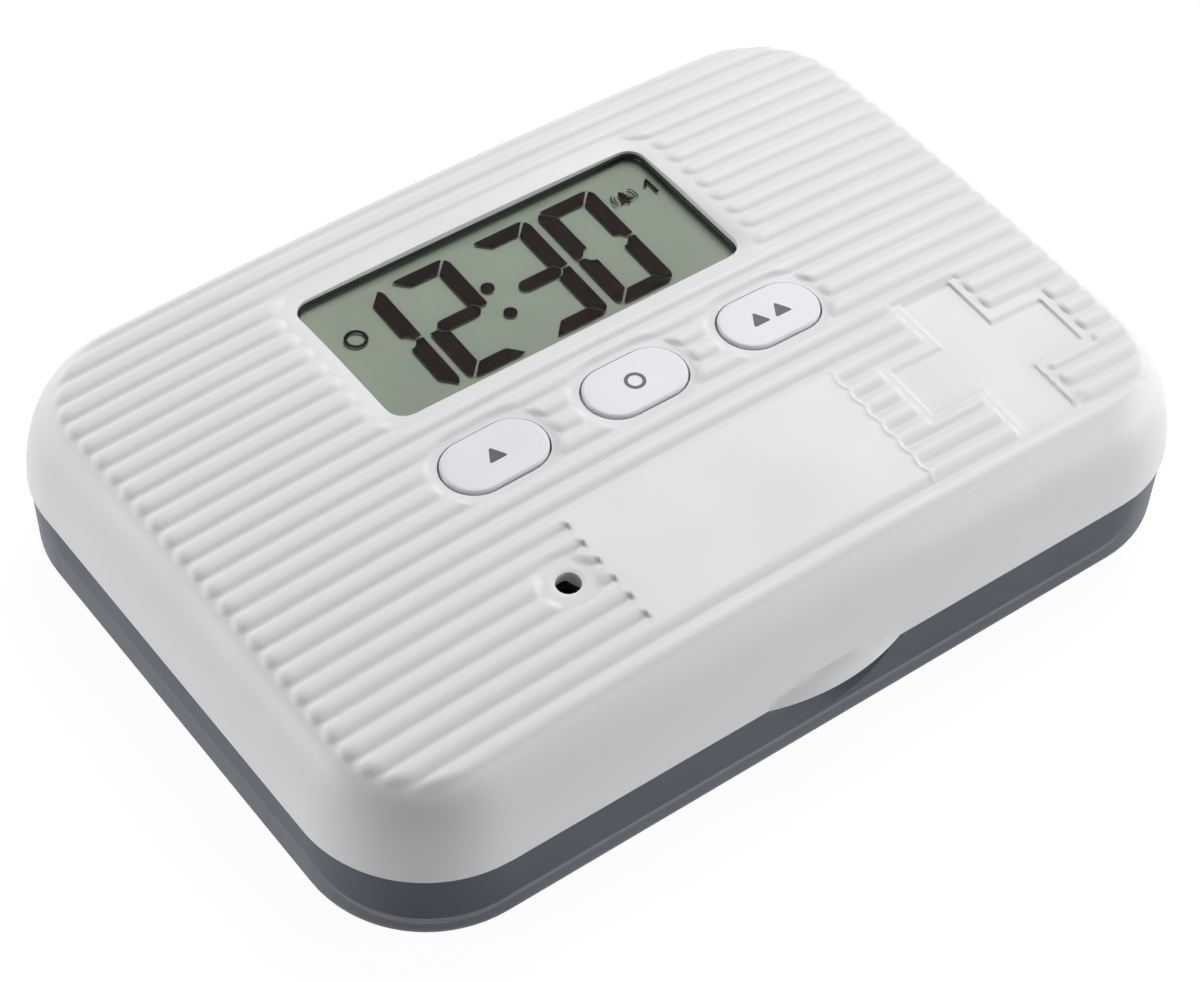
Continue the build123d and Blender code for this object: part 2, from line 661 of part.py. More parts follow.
# ---------------------------------------------------------------- display and board
def make_bezel():
    """Black frame that lines the window and holds the lens."""
    lining = (WINDOW_SIZE[0] - 2 * FIT, WINDOW_SIZE[1] - 2 * FIT)
    with BuildPart() as bezel:
        with BuildSketch(Plane.XY.offset(LENS_TOP - LENS_THICK)):
            with Locations(WINDOW):
                Rectangle(*BEZEL_FLANGE)
        extrude(amount=WINDOW_SEAT - LENS_TOP + LENS_THICK)
        with BuildSketch(Plane.XY.offset(WINDOW_SEAT)):
            with Locations(WINDOW):
                RectangleRounded(*lining, WINDOW_CORNER - FIT)
        extrude(amount=BEZEL_TOP - WINDOW_SEAT)
        with BuildSketch(Plane.XY.offset(LENS_TOP - LENS_THICK)):
            with Locations(WINDOW):
                Rectangle(LENS[0] + 2 * FIT, LENS[1] + 2 * FIT)
        extrude(amount=LENS_THICK, mode=Mode.SUBTRACT)
        with BuildSketch(Plane.XY.offset(LENS_TOP)):
            with Locations(WINDOW):
                RectangleRounded(lining[0] - 2 * BEZEL_LINING, lining[1] - 2 * BEZEL_LINING,
                                 WINDOW_CORNER - FIT - BEZEL_LINING)
        extrude(amount=BEZEL_TOP - LENS_TOP, mode=Mode.SUBTRACT)
    return bezel


def make_slab(centre, size, bottom, height):
    """A plain rectangular plate standing on a height."""
    with BuildPart() as slab:
        with BuildSketch(Plane.XY.offset(bottom)):
            with Locations(centre):
                Rectangle(*size)
        extrude(amount=height)
    return slab


def make_holder():
    """Frame between the board and the bezel, round the display panel."""
    bottom = LENS_TOP - LENS_THICK
    with BuildPart() as holder:
        with BuildSketch(Plane.XY.offset(BOARD_TOP)):
            with Locations(WINDOW):
                Rectangle(*BEZEL_FLANGE)
                Rectangle(*HOLDER_HOLE, mode=Mode.SUBTRACT)
        extrude(amount=bottom - BOARD_TOP)
    return holder


def make_board():
    """Circuit board with its four screw holes."""
    with BuildPart() as board:
        with BuildSketch(Plane.XY.offset(BOARD_TOP - BOARD_THICK)):
            with Locations(BOARD_CENTRE):
                RectangleRounded(*BOARD, BOARD_CORNER)
            with Locations(*BOARD_SPOTS):
                RegularPolygon(SCREW_RADIUS + FIT, SMALL_SIDES, mode=Mode.SUBTRACT)
        extrude(amount=BOARD_THICK)
    return board


def make_button(x):
    """One key cap: a stadium just above the crown, a flange under the cover's roof and a foot."""
    height = crown_height(x, BUTTON_Y) + BUTTON_RISE
    flange_end = abs(x) + BUTTON_SIZE[0] / 2 + CAP_LEDGE
    flange_top = crown_height(flange_end, BUTTON_Y) - WALL - CLEAR
    with BuildPart() as cap:
        with BuildSketch(Plane.XY.offset(CAP_BOTTOM)):
            with Locations((x, BUTTON_Y)):
                Rectangle(*CAP_FOOT)
        extrude(amount=flange_top - CAP_FLANGE - CAP_BOTTOM)
        with BuildSketch(Plane.XY.offset(flange_top - CAP_FLANGE)):
            with Locations((x, BUTTON_Y)):
                stadium(BUTTON_SIZE, CAP_LEDGE)
        extrude(amount=CAP_FLANGE)
        with BuildSketch(Plane.XY.offset(flange_top)):
            with Locations((x, BUTTON_Y)):
                stadium(BUTTON_SIZE)
        extrude(amount=height - flange_top)
        chamfer(cap.faces().sort_by(Axis.Z)[-1].edges(), BUTTON_EDGE)
    return cap


def make_key_pad():
    """Rubber pad with a hollow dome under each key."""
    domes = [(x, BUTTON_Y) for x in BUTTON_X]
    with BuildPart() as pad:
        with BuildSketch(Plane.XY.offset(BOARD_TOP)):
            with Locations((0, BUTTON_Y)):
                Rectangle(*PAD_SIZE)
        extrude(amount=PAD_THICK)
        with BuildSketch(Plane.XY.offset(BOARD_TOP + PAD_THICK)):
            with Locations(*domes):
                Circle(DOME_RADIUS)
        extrude(amount=DOME_TOP - BOARD_TOP - PAD_THICK, taper=DOME_TAPER)
        with BuildSketch(Plane.XY.offset(BOARD_TOP)):
            with Locations(*domes):
                small_round(DOME_RADIUS - DOME_WALL - PILL_THICK)
        extrude(amount=PILL_LIFT + PILL_THICK, mode=Mode.SUBTRACT)
    return pad


def make_contact_pills():
    """Carbon pills in the roofs of the three domes."""
    with BuildPart() as pills:
        with BuildSketch(Plane.XY.offset(BOARD_TOP + PILL_LIFT)):
            with Locations(*[(x, BUTTON_Y) for x in BUTTON_X]):
                small_round(PILL_RADIUS)
        extrude(amount=PILL_THICK)
    return pills


def make_chip():
    """Round blob of black resin over the clock's chip, under the board."""
    with BuildPart() as chip:
        with BuildSketch(Plane.XY.offset(BOARD_TOP - BOARD_THICK - CHIP_HEIGHT)):
            with Locations(CHIP):
                Circle(CHIP_RADIUS)
        extrude(amount=CHIP_HEIGHT)
        chamfer(chip.faces().sort_by(Axis.Z)[0].edges(), CHIP_EDGE)
    return chip


def make_crystal():
    """Small metal can of the quartz crystal, lying under the board."""
    z = BOARD_TOP - BOARD_THICK - CRYSTAL_RADIUS - CRYSTAL_GAP
    with BuildPart() as crystal:
        with BuildSketch(Plane.YZ.offset(CRYSTAL[0])):
            with Locations((CRYSTAL[1], z)):
                Circle(CRYSTAL_RADIUS)
        extrude(amount=CRYSTAL_LENGTH)
    return crystal


# ---------------------------------------------------------------- buzzer and battery
def make_buzzer_case():
    """Open-bottomed can of the buzzer, with a sound port in its roof."""
    with BuildPart() as case:
        with BuildSketch(Plane.XY.offset(BUZZER_BOTTOM)):
            with Locations(BUZZER):
                Circle(BUZZER_RADIUS)
        extrude(amount=BUZZER_TOP - BUZZER_BOTTOM)
        with BuildSketch(Plane.XY.offset(BUZZER_BOTTOM)):
            with Locations(BUZZER):
                Circle(BUZZER_RADIUS - BUZZER_WALL)
        extrude(amount=BUZZER_TOP - BUZZER_BOTTOM - BUZZER_WALL, mode=Mode.SUBTRACT)
        with BuildSketch(Plane.XY.offset(BUZZER_BOTTOM)):
            with Locations(HOLE):
                Circle(PORT_RADIUS)
        extrude(amount=BUZZER_TOP - BUZZER_BOTTOM, mode=Mode.SUBTRACT)
    return case


def make_buzzer_disc():
    """Brass disc that sounds, seated in the mouth of the can."""
    with BuildPart() as disc:
        with BuildSketch(Plane.XY.offset(BUZZER_BOTTOM + DISC_LIFT)):
            with Locations(BUZZER):
                Circle(BUZZER_RADIUS - BUZZER_WALL)
        extrude(amount=DISC_THICK)
    return disc


def make_battery():
    """The AAA cell, its plus nub towards +X."""
    with BuildPart() as cell:
        with BuildSketch(Plane.YZ.offset(BATTERY_START)):
            with Locations((BAY_Y, BATTERY_Z)):
                Circle(BATTERY_RADIUS)
        extrude(amount=BATTERY_BODY)
        with BuildSketch(Plane.YZ.offset(BATTERY_START + BATTERY_BODY)):
            with Locations((BAY_Y, BATTERY_Z)):
                Circle(BATTERY_NUB_RADIUS)
        extrude(amount=BATTERY_NUB)
    return cell


def make_spring_contact():
    """Coil spring that presses on the minus end of the cell."""
    with BuildPart() as spring:
        with BuildSketch(Plane.YZ.offset(BAY_START)):
            with Locations((BAY_Y, BATTERY_Z)):
                Rectangle(*CONTACT_PLATE)
        extrude(amount=CONTACT_THICK)
        start = BAY_START + CONTACT_THICK + SPRING_WIRE / 2
        length = BATTERY_START - SPRING_WIRE - start
        with BuildLine() as line:
            Helix(length / SPRING_TURNS, length, SPRING_RADIUS, center=(start, BAY_Y, BATTERY_Z),
                  direction=(1, 0, 0))
        path = line.line
        with BuildSketch(Plane(origin=path @ 0, z_dir=path % 0)):
            RegularPolygon(SPRING_WIRE, SPRING_SIDES)
        sweep(path=path)
    return spring


def make_plate_contact():
    """Flat contact at the plus end of the cell."""
    with BuildPart() as plate:
        with BuildSketch(Plane.YZ.offset(BAY_END - CONTACT_THICK)):
            with Locations((BAY_Y, BATTERY_Z)):
                Rectangle(*CONTACT_PLATE)
        extrude(amount=CONTACT_THICK)
    return plate


os.makedirs(PARTS, exist_ok=True)
save(make_tray(), "tray")
save(make_lid_cover(), "lid_cover")
save(make_inner_cover(), "inner_cover")
save(make_battery_door(), "battery_door")
save(make_screws(SCREW_SPOTS, LID_BASE, SCREW_LENGTH), "cover_screws")
save(make_screws(BOARD_SPOTS, BOARD_TOP - BOARD_THICK - SCREW_HEAD, BOARD_SCREW_LENGTH), "board_screws")
save(make_hinge_pins(), "hinge_pins")
save(make_bezel(), "display_bezel")
save(make_slab(WINDOW, LENS, LENS_TOP - LENS_THICK, LENS_THICK), "display_lens")
save(make_slab(WINDOW, PANEL, LENS_TOP - LENS_THICK - PANEL_THICK, PANEL_THICK), "display_panel")
save(make_holder(), "display_holder")
strip_height = LENS_TOP - LENS_THICK - PANEL_THICK - BOARD_TOP
save(make_slab((WINDOW[0], WINDOW[1] - STRIP_FORWARD), STRIP, BOARD_TOP, strip_height), "connector_strip")
save(make_board(), "circuit_board")
for button_x, button_name in zip(BUTTON_X, ("hour_button", "mode_button", "minute_button")):
    save(make_button(button_x), button_name)
save(make_key_pad(), "key_pad")
save(make_contact_pills(), "contact_pills")
save(make_chip(), "clock_chip")
save(make_crystal(), "quartz_crystal")
save(make_buzzer_case(), "buzzer_case")
save(make_buzzer_disc(), "buzzer_disc")
save(make_battery(), "battery_cell")
save(make_spring_contact(), "spring_contact")
save(make_plate_contact(), "plate_contact")
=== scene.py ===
# %% [markdown]
# # A pill box with an alarm clock in its lid
#
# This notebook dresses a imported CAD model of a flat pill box. The box has a smoky grey tray with
# six compartments and a white lid with raised beads, a small display and three keys. The CAD
# model is the fixed frame: it gives every size and every moving body, and nothing here moves it.
# Each step says what a piece is on the real object and how it is made in Blender.

# %% Start: load the frame
import math

import bpy
import numpy as np
from mathutils import Matrix, Vector
from mathutils.geometry import tessellate_polygon


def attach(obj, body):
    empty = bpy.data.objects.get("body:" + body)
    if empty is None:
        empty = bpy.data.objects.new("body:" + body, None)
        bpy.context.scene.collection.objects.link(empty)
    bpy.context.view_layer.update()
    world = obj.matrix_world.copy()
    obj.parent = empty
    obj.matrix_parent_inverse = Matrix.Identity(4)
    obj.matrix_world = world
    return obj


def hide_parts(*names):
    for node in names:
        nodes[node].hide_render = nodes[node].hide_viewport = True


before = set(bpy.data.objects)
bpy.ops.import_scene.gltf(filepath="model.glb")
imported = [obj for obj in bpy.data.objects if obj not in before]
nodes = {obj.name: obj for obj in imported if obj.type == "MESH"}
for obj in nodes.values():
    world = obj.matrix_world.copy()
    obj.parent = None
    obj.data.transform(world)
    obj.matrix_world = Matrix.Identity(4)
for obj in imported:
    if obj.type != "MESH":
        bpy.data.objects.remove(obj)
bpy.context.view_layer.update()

# %% [markdown]
# ## The camera
#
# The photograph looks down at the box from its front left corner. The camera was fitted to the
# corners of the lid and to the rows of beads, so its numbers are not round: it looks from 42
# degrees to the left, 48 degrees above the table, and it is rolled by 5 degrees. The picture is a
# cut from a wider one, so the lens is shifted sideways.

# %% Camera
AZIMUTH = -42.202
ELEVATION = 48.133
ROLL = 5.471
DISTANCE = 0.381488
OFFSET_RIGHT = 0.017517
OFFSET_UP = -0.00982
AIM_HEIGHT = 0.015
FOCAL_PIXELS = 3240.5
IMAGE_WIDTH = 1200
SHIFT_PIXELS = (157.07, 12.05)


def make_camera():
    """Place the camera: a direction from two angles, a roll about it, then a sideways offset."""
    azimuth, elevation, roll = (math.radians(angle) for angle in (AZIMUTH, ELEVATION, ROLL))
    back = Vector((
        math.sin(azimuth) * math.cos(elevation),
        -math.cos(azimuth) * math.cos(elevation),
        math.sin(elevation),
    ))
    level = (-back).cross(Vector((0, 0, 1))).normalized()
    upward = level.cross(-back)
    right = level * math.cos(roll) + upward * math.sin(roll)
    up = upward * math.cos(roll) - level * math.sin(roll)
    place = back * DISTANCE + right * OFFSET_RIGHT + up * OFFSET_UP + Vector((0, 0, AIM_HEIGHT))
    data = bpy.data.cameras.new("camera")
    data.sensor_width = 36
    data.lens = FOCAL_PIXELS / IMAGE_WIDTH * data.sensor_width
    data.shift_x = -SHIFT_PIXELS[0] / IMAGE_WIDTH
    data.shift_y = SHIFT_PIXELS[1] / IMAGE_WIDTH
    data.clip_start = 0.01
    data.clip_end = 20
    camera = bpy.data.objects.new("camera", data)
    bpy.context.scene.collection.objects.link(camera)
    camera.matrix_world = Matrix.Translation(place) @ Matrix((right, up, back)).transposed().to_4x4()
    bpy.context.scene.camera = camera
    return camera


camera = make_camera()
print("camera stands at", [round(c, 3) for c in camera.location], "with a", round(camera.data.lens, 1), "mm lens")

# %% [markdown]
# ## Numbers that the visible pieces share
#
# These sizes repeat the CAD source, in millimetres. Everything is worked out in millimetres and
# turned into metres when a mesh is made.

# %% Shared sizes
MM = 0.001
CORE = np.array([44.0, 27.0])  # half sizes of the rectangle that the corners are rounded about
CORNER = 16.0
LID_BASE = 11.25
CROWN_TOP = 25.4
CROWN_LONG = 772.0
CROWN_SHORT = 467.0
SHOULDER_IN = 5.4
SHOULDER_FOOT = 9.6
WINDOW = np.array([-0.2, 17.7])
WINDOW_HALF = np.array([25.0, 11.3])
WINDOW_CORNER = 2.4
KEY_CENTRES = ((-19.6, -4.65), (0.0, -4.65), (19.6, -4.65))
KEY_HALF = np.array([6.7, 4.05])
KEY_GAP = 0.22
HOLE = np.array([-23.4, -24.0])
HOLE_RADIUS = 1.5


def smooth(value, low, high):
    """Smooth step: 0 below low, 1 above high, and the cubic 3t^2 - 2t^3 between them."""
    t = np.clip((value - low) / (high - low), 0, 1)
    return t * t * (3 - 2 * t)


def crown(x, y):
    """Height of the lid's crown: an arc of radius CROWN_SHORT across, less x^2 / (2 CROWN_LONG)."""
    return CROWN_TOP - (CROWN_SHORT - np.sqrt(CROWN_SHORT**2 - y**2)) - x**2 / (2 * CROWN_LONG)


def rounded_box(x, y, centre, half, radius):
    """Signed distance to a rounded rectangle: negative inside, from the distance to its core."""
    qx = np.abs(x - centre[0]) - half[0] + radius
    qy = np.abs(y - centre[1]) - half[1] + radius
    return np.hypot(np.maximum(qx, 0), np.maximum(qy, 0)) + np.minimum(np.maximum(qx, qy), 0) - radius


# %% [markdown]
# ## From numbers to a mesh
#
# Every new piece is a set of sheets. A sheet is a grid of points, so its faces follow from the
# grid's rows and columns, and one helper turns all of them into one mesh. Shared edges are welded
# by their places, so that a closed form has no seams.

# %% Mesh helpers
class Sheets:
    """Collects grids and loose faces, then makes one welded mesh of them."""

    def __init__(self):
        self.points = []
        self.faces = []
        self.count = 0

    def add_points(self, points):
        """Store points of shape (..., 3) and return their numbers in the same layout."""
        numbers = self.count + np.arange(points[..., 0].size).reshape(points.shape[:-1])
        self.points.append(points.reshape(-1, 3))
        self.count += numbers.size
        return numbers

    def add_grid(self, points, closed=False, flip=False, keep=None):
        """Faces between neighbouring rows and columns; closed joins the last column to the first."""
        numbers = self.add_points(points)
        self.faces.append(grid_faces(numbers, closed, flip, keep))
        return numbers

    def mesh(self, name, weld=1e-4):
        """The mesh in metres. Points closer than weld, in mm, become one."""
        points = np.concatenate(self.points)
        _, first, place = np.unique(np.round(points / weld).astype(np.int64), axis=0,
                                    return_index=True, return_inverse=True)
        place = place.ravel()
        faces = []
        for block in self.faces:
            faces += place[block].tolist()
        faces = [tidy_face(face) for face in faces]
        faces = [face for face in faces if len(face) > 2]
        mesh = bpy.data.meshes.new(name)
        mesh.from_pydata((points[first] * MM).tolist(), [], faces)
        mesh.validate()
        mesh.update()
        return mesh


def grid_faces(numbers, closed=False, flip=False, keep=None):
    """Quads of a grid of point numbers, turned round if flip, only those where keep is true."""
    if closed:
        numbers = np.concatenate([numbers, numbers[:, :1]], axis=1)
    quads = np.stack([numbers[:-1, :-1], numbers[:-1, 1:], numbers[1:, 1:], numbers[1:, :-1]], axis=-1)
    if flip:
        quads = quads[..., ::-1]
    return quads[keep] if keep is not None else quads.reshape(-1, 4)


def tidy_face(face):
    """The face without repeated corners, which a pinched grid has at its pole."""
    return [corner for index, corner in enumerate(face) if corner != face[index - 1]]


def fill_loops(sheets, loops, up, order=(0, 1, 2)):
    """Faces over the first loop, less the holes of the others. The loops lie in their first two axes."""
    numbers = np.concatenate([sheets.add_points(loop[:, order]) for loop in loops])
    triangles = tessellate_polygon([[Vector(point) for point in loop] for loop in loops])
    faces = numbers[np.array(triangles)]
    points = np.concatenate(loops)
    corners = points[np.array(triangles)]
    side = np.cross(corners[:, 1] - corners[:, 0], corners[:, 2] - corners[:, 0])[:, 2]
    wrong = (side > 0) != up
    faces[wrong] = faces[wrong][:, ::-1]
    sheets.faces.append(faces[np.abs(side) > 1e-9])


def round_path(centre, half, radius, arc_steps=14, side_steps=10):
    """Core points and outward normals round a rounded rectangle: quarter turns joined by sides."""
    quarter = np.radians(np.linspace(0, 90, arc_steps + 1))
    signs = np.array([(1, 1), (-1, 1), (-1, -1), (1, -1)])
    corners = np.array(centre) + signs * (np.array(half) - radius)
    core, normal = [], []
    for turn in range(4):
        angle = quarter + turn * math.pi / 2
        direction = np.stack([np.cos(angle), np.sin(angle)], axis=-1)
        step = np.linspace(0, 1, side_steps + 1)[1:-1, None]
        core += [np.tile(corners[turn], (arc_steps + 1, 1)),
                 corners[turn] + (corners[(turn + 1) % 4] - corners[turn]) * step]
        normal += [direction, np.tile(direction[-1], (side_steps - 1, 1))]
    return np.concatenate(core), np.concatenate(normal)


def ring_plan(path, radius, insets):
    """Plan points of nested rings: core plus normal times (radius - inset), a row for each inset."""
    core, normal = path
    return core[None] + normal[None] * (radius - np.asarray(insets, float))[:, None, None]


def with_height(plan, height):
    """Plan points of shape (..., 2) and heights that fit them, as points of shape (..., 3)."""
    return np.concatenate([plan, np.broadcast_to(height, plan.shape[:-1])[..., None]], axis=-1)


def add_plate(sheets, loops, low, high):
    """A thin closed plate over flat loops (outline first, then holes) between two height functions."""
    for loop in loops:
        rims = np.stack([with_height(loop, low(*loop.T)), with_height(loop, high(*loop.T))])
        turns = np.sum(loop[:, 0] * np.roll(loop[:, 1], -1) - loop[:, 1] * np.roll(loop[:, 0], -1))
        outer = loop is loops[0]
        sheets.add_grid(rims, closed=True, flip=bool((turns > 0) != outer))
    fill_loops(sheets, [with_height(loop, high(*loop.T)) for loop in loops], up=True)
    fill_loops(sheets, [with_height(loop, low(*loop.T)) for loop in loops], up=False)


def make_piece(name, mesh, body, material, replaces=(), sharp=35):
    """Put a finished mesh in the scene, on its body, with its material and its CAD nodes."""
    piece = bpy.data.objects.new(name, mesh)
    bpy.context.scene.collection.objects.link(piece)
    mesh.materials.append(material)
    mesh.shade_smooth()
    mesh.set_sharp_from_angle(angle=math.radians(sharp))
    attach(piece, body)
    if replaces:
        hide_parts(*replaces)
    size = [round(v / MM, 1) for v in piece.dimensions]
    print(name, "has", len(mesh.polygons), "faces and measures", size, "mm")
    return piece


def spaced(low, high, marks, fine, coarse, growth):
    """Positions from low to high whose spacing is fine at each mark and grows away from it."""
    marks = np.array(sorted(set([low, high] + [m for m in marks if low < m < high])))
    rows = []
    for start, end in zip(marks[:-1], marks[1:]):
        t = np.linspace(start, end, 400)
        step = np.minimum(coarse, fine + growth * np.minimum(t - start, end - t))
        travel = np.concatenate([[0], np.cumsum((1 / step[1:] + 1 / step[:-1]) / 2 * np.diff(t))])
        count = max(1, int(round(travel[-1])))
        rows.append(np.interp(np.linspace(0, travel[-1], count + 1)[:-1], travel, t))
    return np.concatenate(rows + [[high]])


# %% [markdown]
# ## Shared shader effects
#
# Moulded plastic is never quite flat: the mould's surface is spark eroded, which leaves a fine
# grain, and large faces vary a little in gloss. Both effects are used by several materials, so
# one node group gives both, with named inputs and outputs.

# %% Node groups
def new_group(name, inputs, outputs):
    """An empty shader node group with float inputs {name: default} and the named outputs."""
    group = bpy.data.node_groups.new(name, "ShaderNodeTree")
    for label, default in inputs.items():
        socket = group.interface.new_socket(name=label, in_out="INPUT", socket_type="NodeSocketFloat")
        socket.default_value = default
    for label in outputs:
        group.interface.new_socket(name=label, in_out="OUTPUT", socket_type="NodeSocketFloat")
    return group, group.nodes.new("NodeGroupInput"), group.nodes.new("NodeGroupOutput")


def make_grain_group():
    """Height: fine noise plus a finer one. Gloss: slow noise, from 0 to 1."""
    group, given, result = new_group("moulded_grain", {"Scale": 9000.0, "Patch Scale": 60.0}, ["Height", "Gloss"])
    link = group.links.new
    place = group.nodes.new("ShaderNodeTexCoord")
    coarse = group.nodes.new("ShaderNodeTexNoise")
    coarse.inputs["Detail"].default_value = 3.0
    coarse.inputs["Roughness"].default_value = 0.7
    patch = group.nodes.new("ShaderNodeTexNoise")
    patch.inputs["Detail"].default_value = 2.0
    link(place.outputs["Object"], coarse.inputs["Vector"])
    link(place.outputs["Object"], patch.inputs["Vector"])
    link(given.outputs["Scale"], coarse.inputs["Scale"])
    link(given.outputs["Patch Scale"], patch.inputs["Scale"])
    link(coarse.outputs["Fac"], result.inputs["Height"])
    link(patch.outputs["Fac"], result.inputs["Gloss"])
    return group


grain_group = make_grain_group()
print("node groups:", [group.name for group in bpy.data.node_groups])


# %% Materials
def srgb(*values):
    """Linear colour of an 8-bit sRGB one: the standard curve ((c + 0.055) / 1.055) ^ 2.4."""
    c = np.array(values) / 255
    linear = np.where(c <= 0.04045, c / 12.92, ((c + 0.055) / 1.055) ** 2.4)
    return (*[float(v) for v in linear], 1.0)


def plastic(name, colour, second, rough, rough_spread, grain, grain_scale=9000.0, patch=60.0, **sockets):
    """A material with grain: colour drifts to second, roughness by rough_spread, bump by grain."""
    material = bpy.data.materials.new(name)
    material.use_nodes = True
    tree = material.node_tree
    shader = tree.nodes["Principled BSDF"]
    effect = tree.nodes.new("ShaderNodeGroup")
    effect.node_tree = grain_group
    effect.inputs["Scale"].default_value = grain_scale
    effect.inputs["Patch Scale"].default_value = patch
    blend = tree.nodes.new("ShaderNodeMix")
    blend.data_type = "RGBA"
    blend.inputs["A"].default_value = colour
    blend.inputs["B"].default_value = second
    roughness = tree.nodes.new("ShaderNodeMapRange")
    roughness.inputs["From Min"].default_value = 0.3
    roughness.inputs["From Max"].default_value = 0.7
    roughness.inputs["To Min"].default_value = rough - rough_spread
    roughness.inputs["To Max"].default_value = rough + rough_spread
    bump = tree.nodes.new("ShaderNodeBump")
    bump.inputs["Strength"].default_value = grain
    bump.inputs["Distance"].default_value = 0.00002
    link = tree.links.new
    link(effect.outputs["Gloss"], blend.inputs["Factor"])
    link(effect.outputs["Gloss"], roughness.inputs["Value"])
    link(effect.outputs["Height"], bump.inputs["Height"])
    link(blend.outputs["Result"], shader.inputs["Base Color"])
    link(roughness.outputs["Result"], shader.inputs["Roughness"])
    link(bump.outputs["Normal"], shader.inputs["Normal"])
    for label, value in sockets.items():
        shader.inputs[label.replace("_", " ")].default_value = value
    return material


white_plastic = plastic("white_plastic", srgb(233, 233, 235), srgb(230, 230, 232), 0.5, 0.04, 0.35)
key_plastic = plastic("key_plastic", srgb(231, 232, 236), srgb(228, 229, 233), 0.48, 0.03, 0.25)
smoke_plastic = plastic("smoke_plastic", srgb(87, 93, 105), srgb(82, 88, 100), 0.42, 0.04, 0.15, Alpha=0.82,
                        Specular_IOR_Level=0.22)
black_plastic = plastic("black_plastic", srgb(16, 16, 17), srgb(20, 20, 21), 0.5, 0.05, 0.4, Specular_IOR_Level=0.2)
lcd_glass = plastic("lcd_glass", srgb(167, 180, 161), srgb(158, 171, 152), 0.5, 0.03, 0.1, 20000.0, 40.0,
                    Specular_IOR_Level=0.0)
lcd_ink = plastic("lcd_ink", srgb(32, 20, 18), srgb(27, 17, 15), 0.6, 0.03, 0.1, Specular_IOR_Level=0.0)
print_ink = plastic("print_ink", srgb(52, 54, 60), srgb(58, 60, 66), 0.55, 0.04, 0.2)
grey_rubber = plastic("grey_rubber", srgb(120, 122, 124), srgb(112, 114, 116), 0.7, 0.05, 0.5)
carbon_rubber = plastic("carbon_rubber", srgb(24, 24, 24), srgb(30, 30, 30), 0.8, 0.05, 0.5)
board_laminate = plastic("board_laminate", srgb(38, 92, 58), srgb(30, 80, 50), 0.35, 0.05, 0.3)
black_resin = plastic("black_resin", srgb(16, 16, 17), srgb(20, 20, 21), 0.22, 0.05, 0.1)
steel = plastic("steel", srgb(196, 198, 200), srgb(182, 184, 187), 0.3, 0.08, 0.3, Metallic=1.0)
brass = plastic("brass", srgb(214, 184, 112), srgb(200, 170, 98), 0.32, 0.08, 0.3, Metallic=1.0)
cell_jacket = plastic("cell_jacket", srgb(46, 66, 104), srgb(42, 60, 96), 0.3, 0.05, 0.1)
clear_plastic = plastic("clear_plastic", srgb(30, 32, 31), srgb(26, 28, 27), 0.1, 0.02, 0.02, Alpha=0.04)

NODE_MATERIALS = {
    "tray": smoke_plastic, "hinge_pins": steel, "lid_cover": white_plastic, "inner_cover": white_plastic,
    "cover_screws": steel, "display_bezel": black_plastic, "display_lens": clear_plastic,
    "display_panel": lcd_glass, "display_holder": black_plastic, "connector_strip": grey_rubber,
    "circuit_board": board_laminate, "board_screws": steel, "hour_button": key_plastic,
    "mode_button": key_plastic, "minute_button": key_plastic, "key_pad": grey_rubber,
    "contact_pills": carbon_rubber, "clock_chip": black_resin, "quartz_crystal": steel,
    "buzzer_case": black_plastic, "buzzer_disc": brass, "battery_cell": cell_jacket,
    "spring_contact": steel, "plate_contact": steel, "battery_door": white_plastic,
}
for node_name, node_material in NODE_MATERIALS.items():
    node_mesh = nodes[node_name].data
    node_mesh.materials.clear()
    node_mesh.materials.append(node_material)
print("materials:", len(bpy.data.materials))

# %% [markdown]
# ## The lid's cover
#
# The cover is one white moulding: a crowned top with 27 raised beads, a window with a softly
# sloping border, three key holes, a sound hole, a plain pad for a label and a sunk cross. A
# sculpted height over the plan makes all of that: one function of x and y gives the height, and
# distances to outlines decide where a bead ends. The sides then hang from the edge of that sheet
# as rings, each a little further out, and a flat roof closes the form inside.

# %% Outlines on the lid
BEAD_COUNT = 27
BEAD_PITCH = 2.913
BEAD_FIRST = 38.75
BEAD_HALF = 1.27
BEAD_RISE = 0.45
BEAD_END = 4.1  # the beads end this far in from the outline
LABEL = np.array([0.1, -25.34])
LABEL_HALF = np.array([19.7, 10.2])
CUP = 0.68
SCALLOP = 1.55
SCALLOP_SHIFT = 1.4
RIM_RISE = 0.3
CROSS = np.array([37.6, -23.5])
CROSS_HALF = 11.7
CROSS_ARM = 3.85
CROSS_DEPTH = 0.3
CROSS_BAND = 1.05  # bare margin beside its bars
CROSS_FRONT = 0.2  # and at its front and back end


def lid_distance(x, y):
    """How far a point of the plan lies inside the lid's outline."""
    return -rounded_box(x, y, (0, 0), CORE + CORNER, CORNER)


def window_distance(x, y, grow=0.0):
    """Signed distance to the window's opening, grown on every side."""
    return rounded_box(x, y, WINDOW, WINDOW_HALF + grow, WINDOW_CORNER)


def key_distance(x, y, grow=0.0):
    """Signed distance to the nearest key's outline, grown: a rectangle rounded by half its width."""
    return np.min([rounded_box(x, y, centre, KEY_HALF + grow, KEY_HALF[1] + grow) for centre in KEY_CENTRES], axis=0)


def hole_distance(x, y):
    """Distance from the middle of the sound hole."""
    return np.hypot(x - HOLE[0], y - HOLE[1])


def cross_distance(x, y, beside=0.0, front=0.0):
    """Signed distance to the cross: the nearer of its two bars, both grown by the margins."""
    across = rounded_box(x, y, CROSS, np.array([CROSS_HALF, CROSS_ARM]) + beside, 0.15)
    along = rounded_box(x, y, CROSS, np.array([CROSS_ARM + beside, CROSS_HALF + front]), 0.15)
    return np.minimum(across, along)


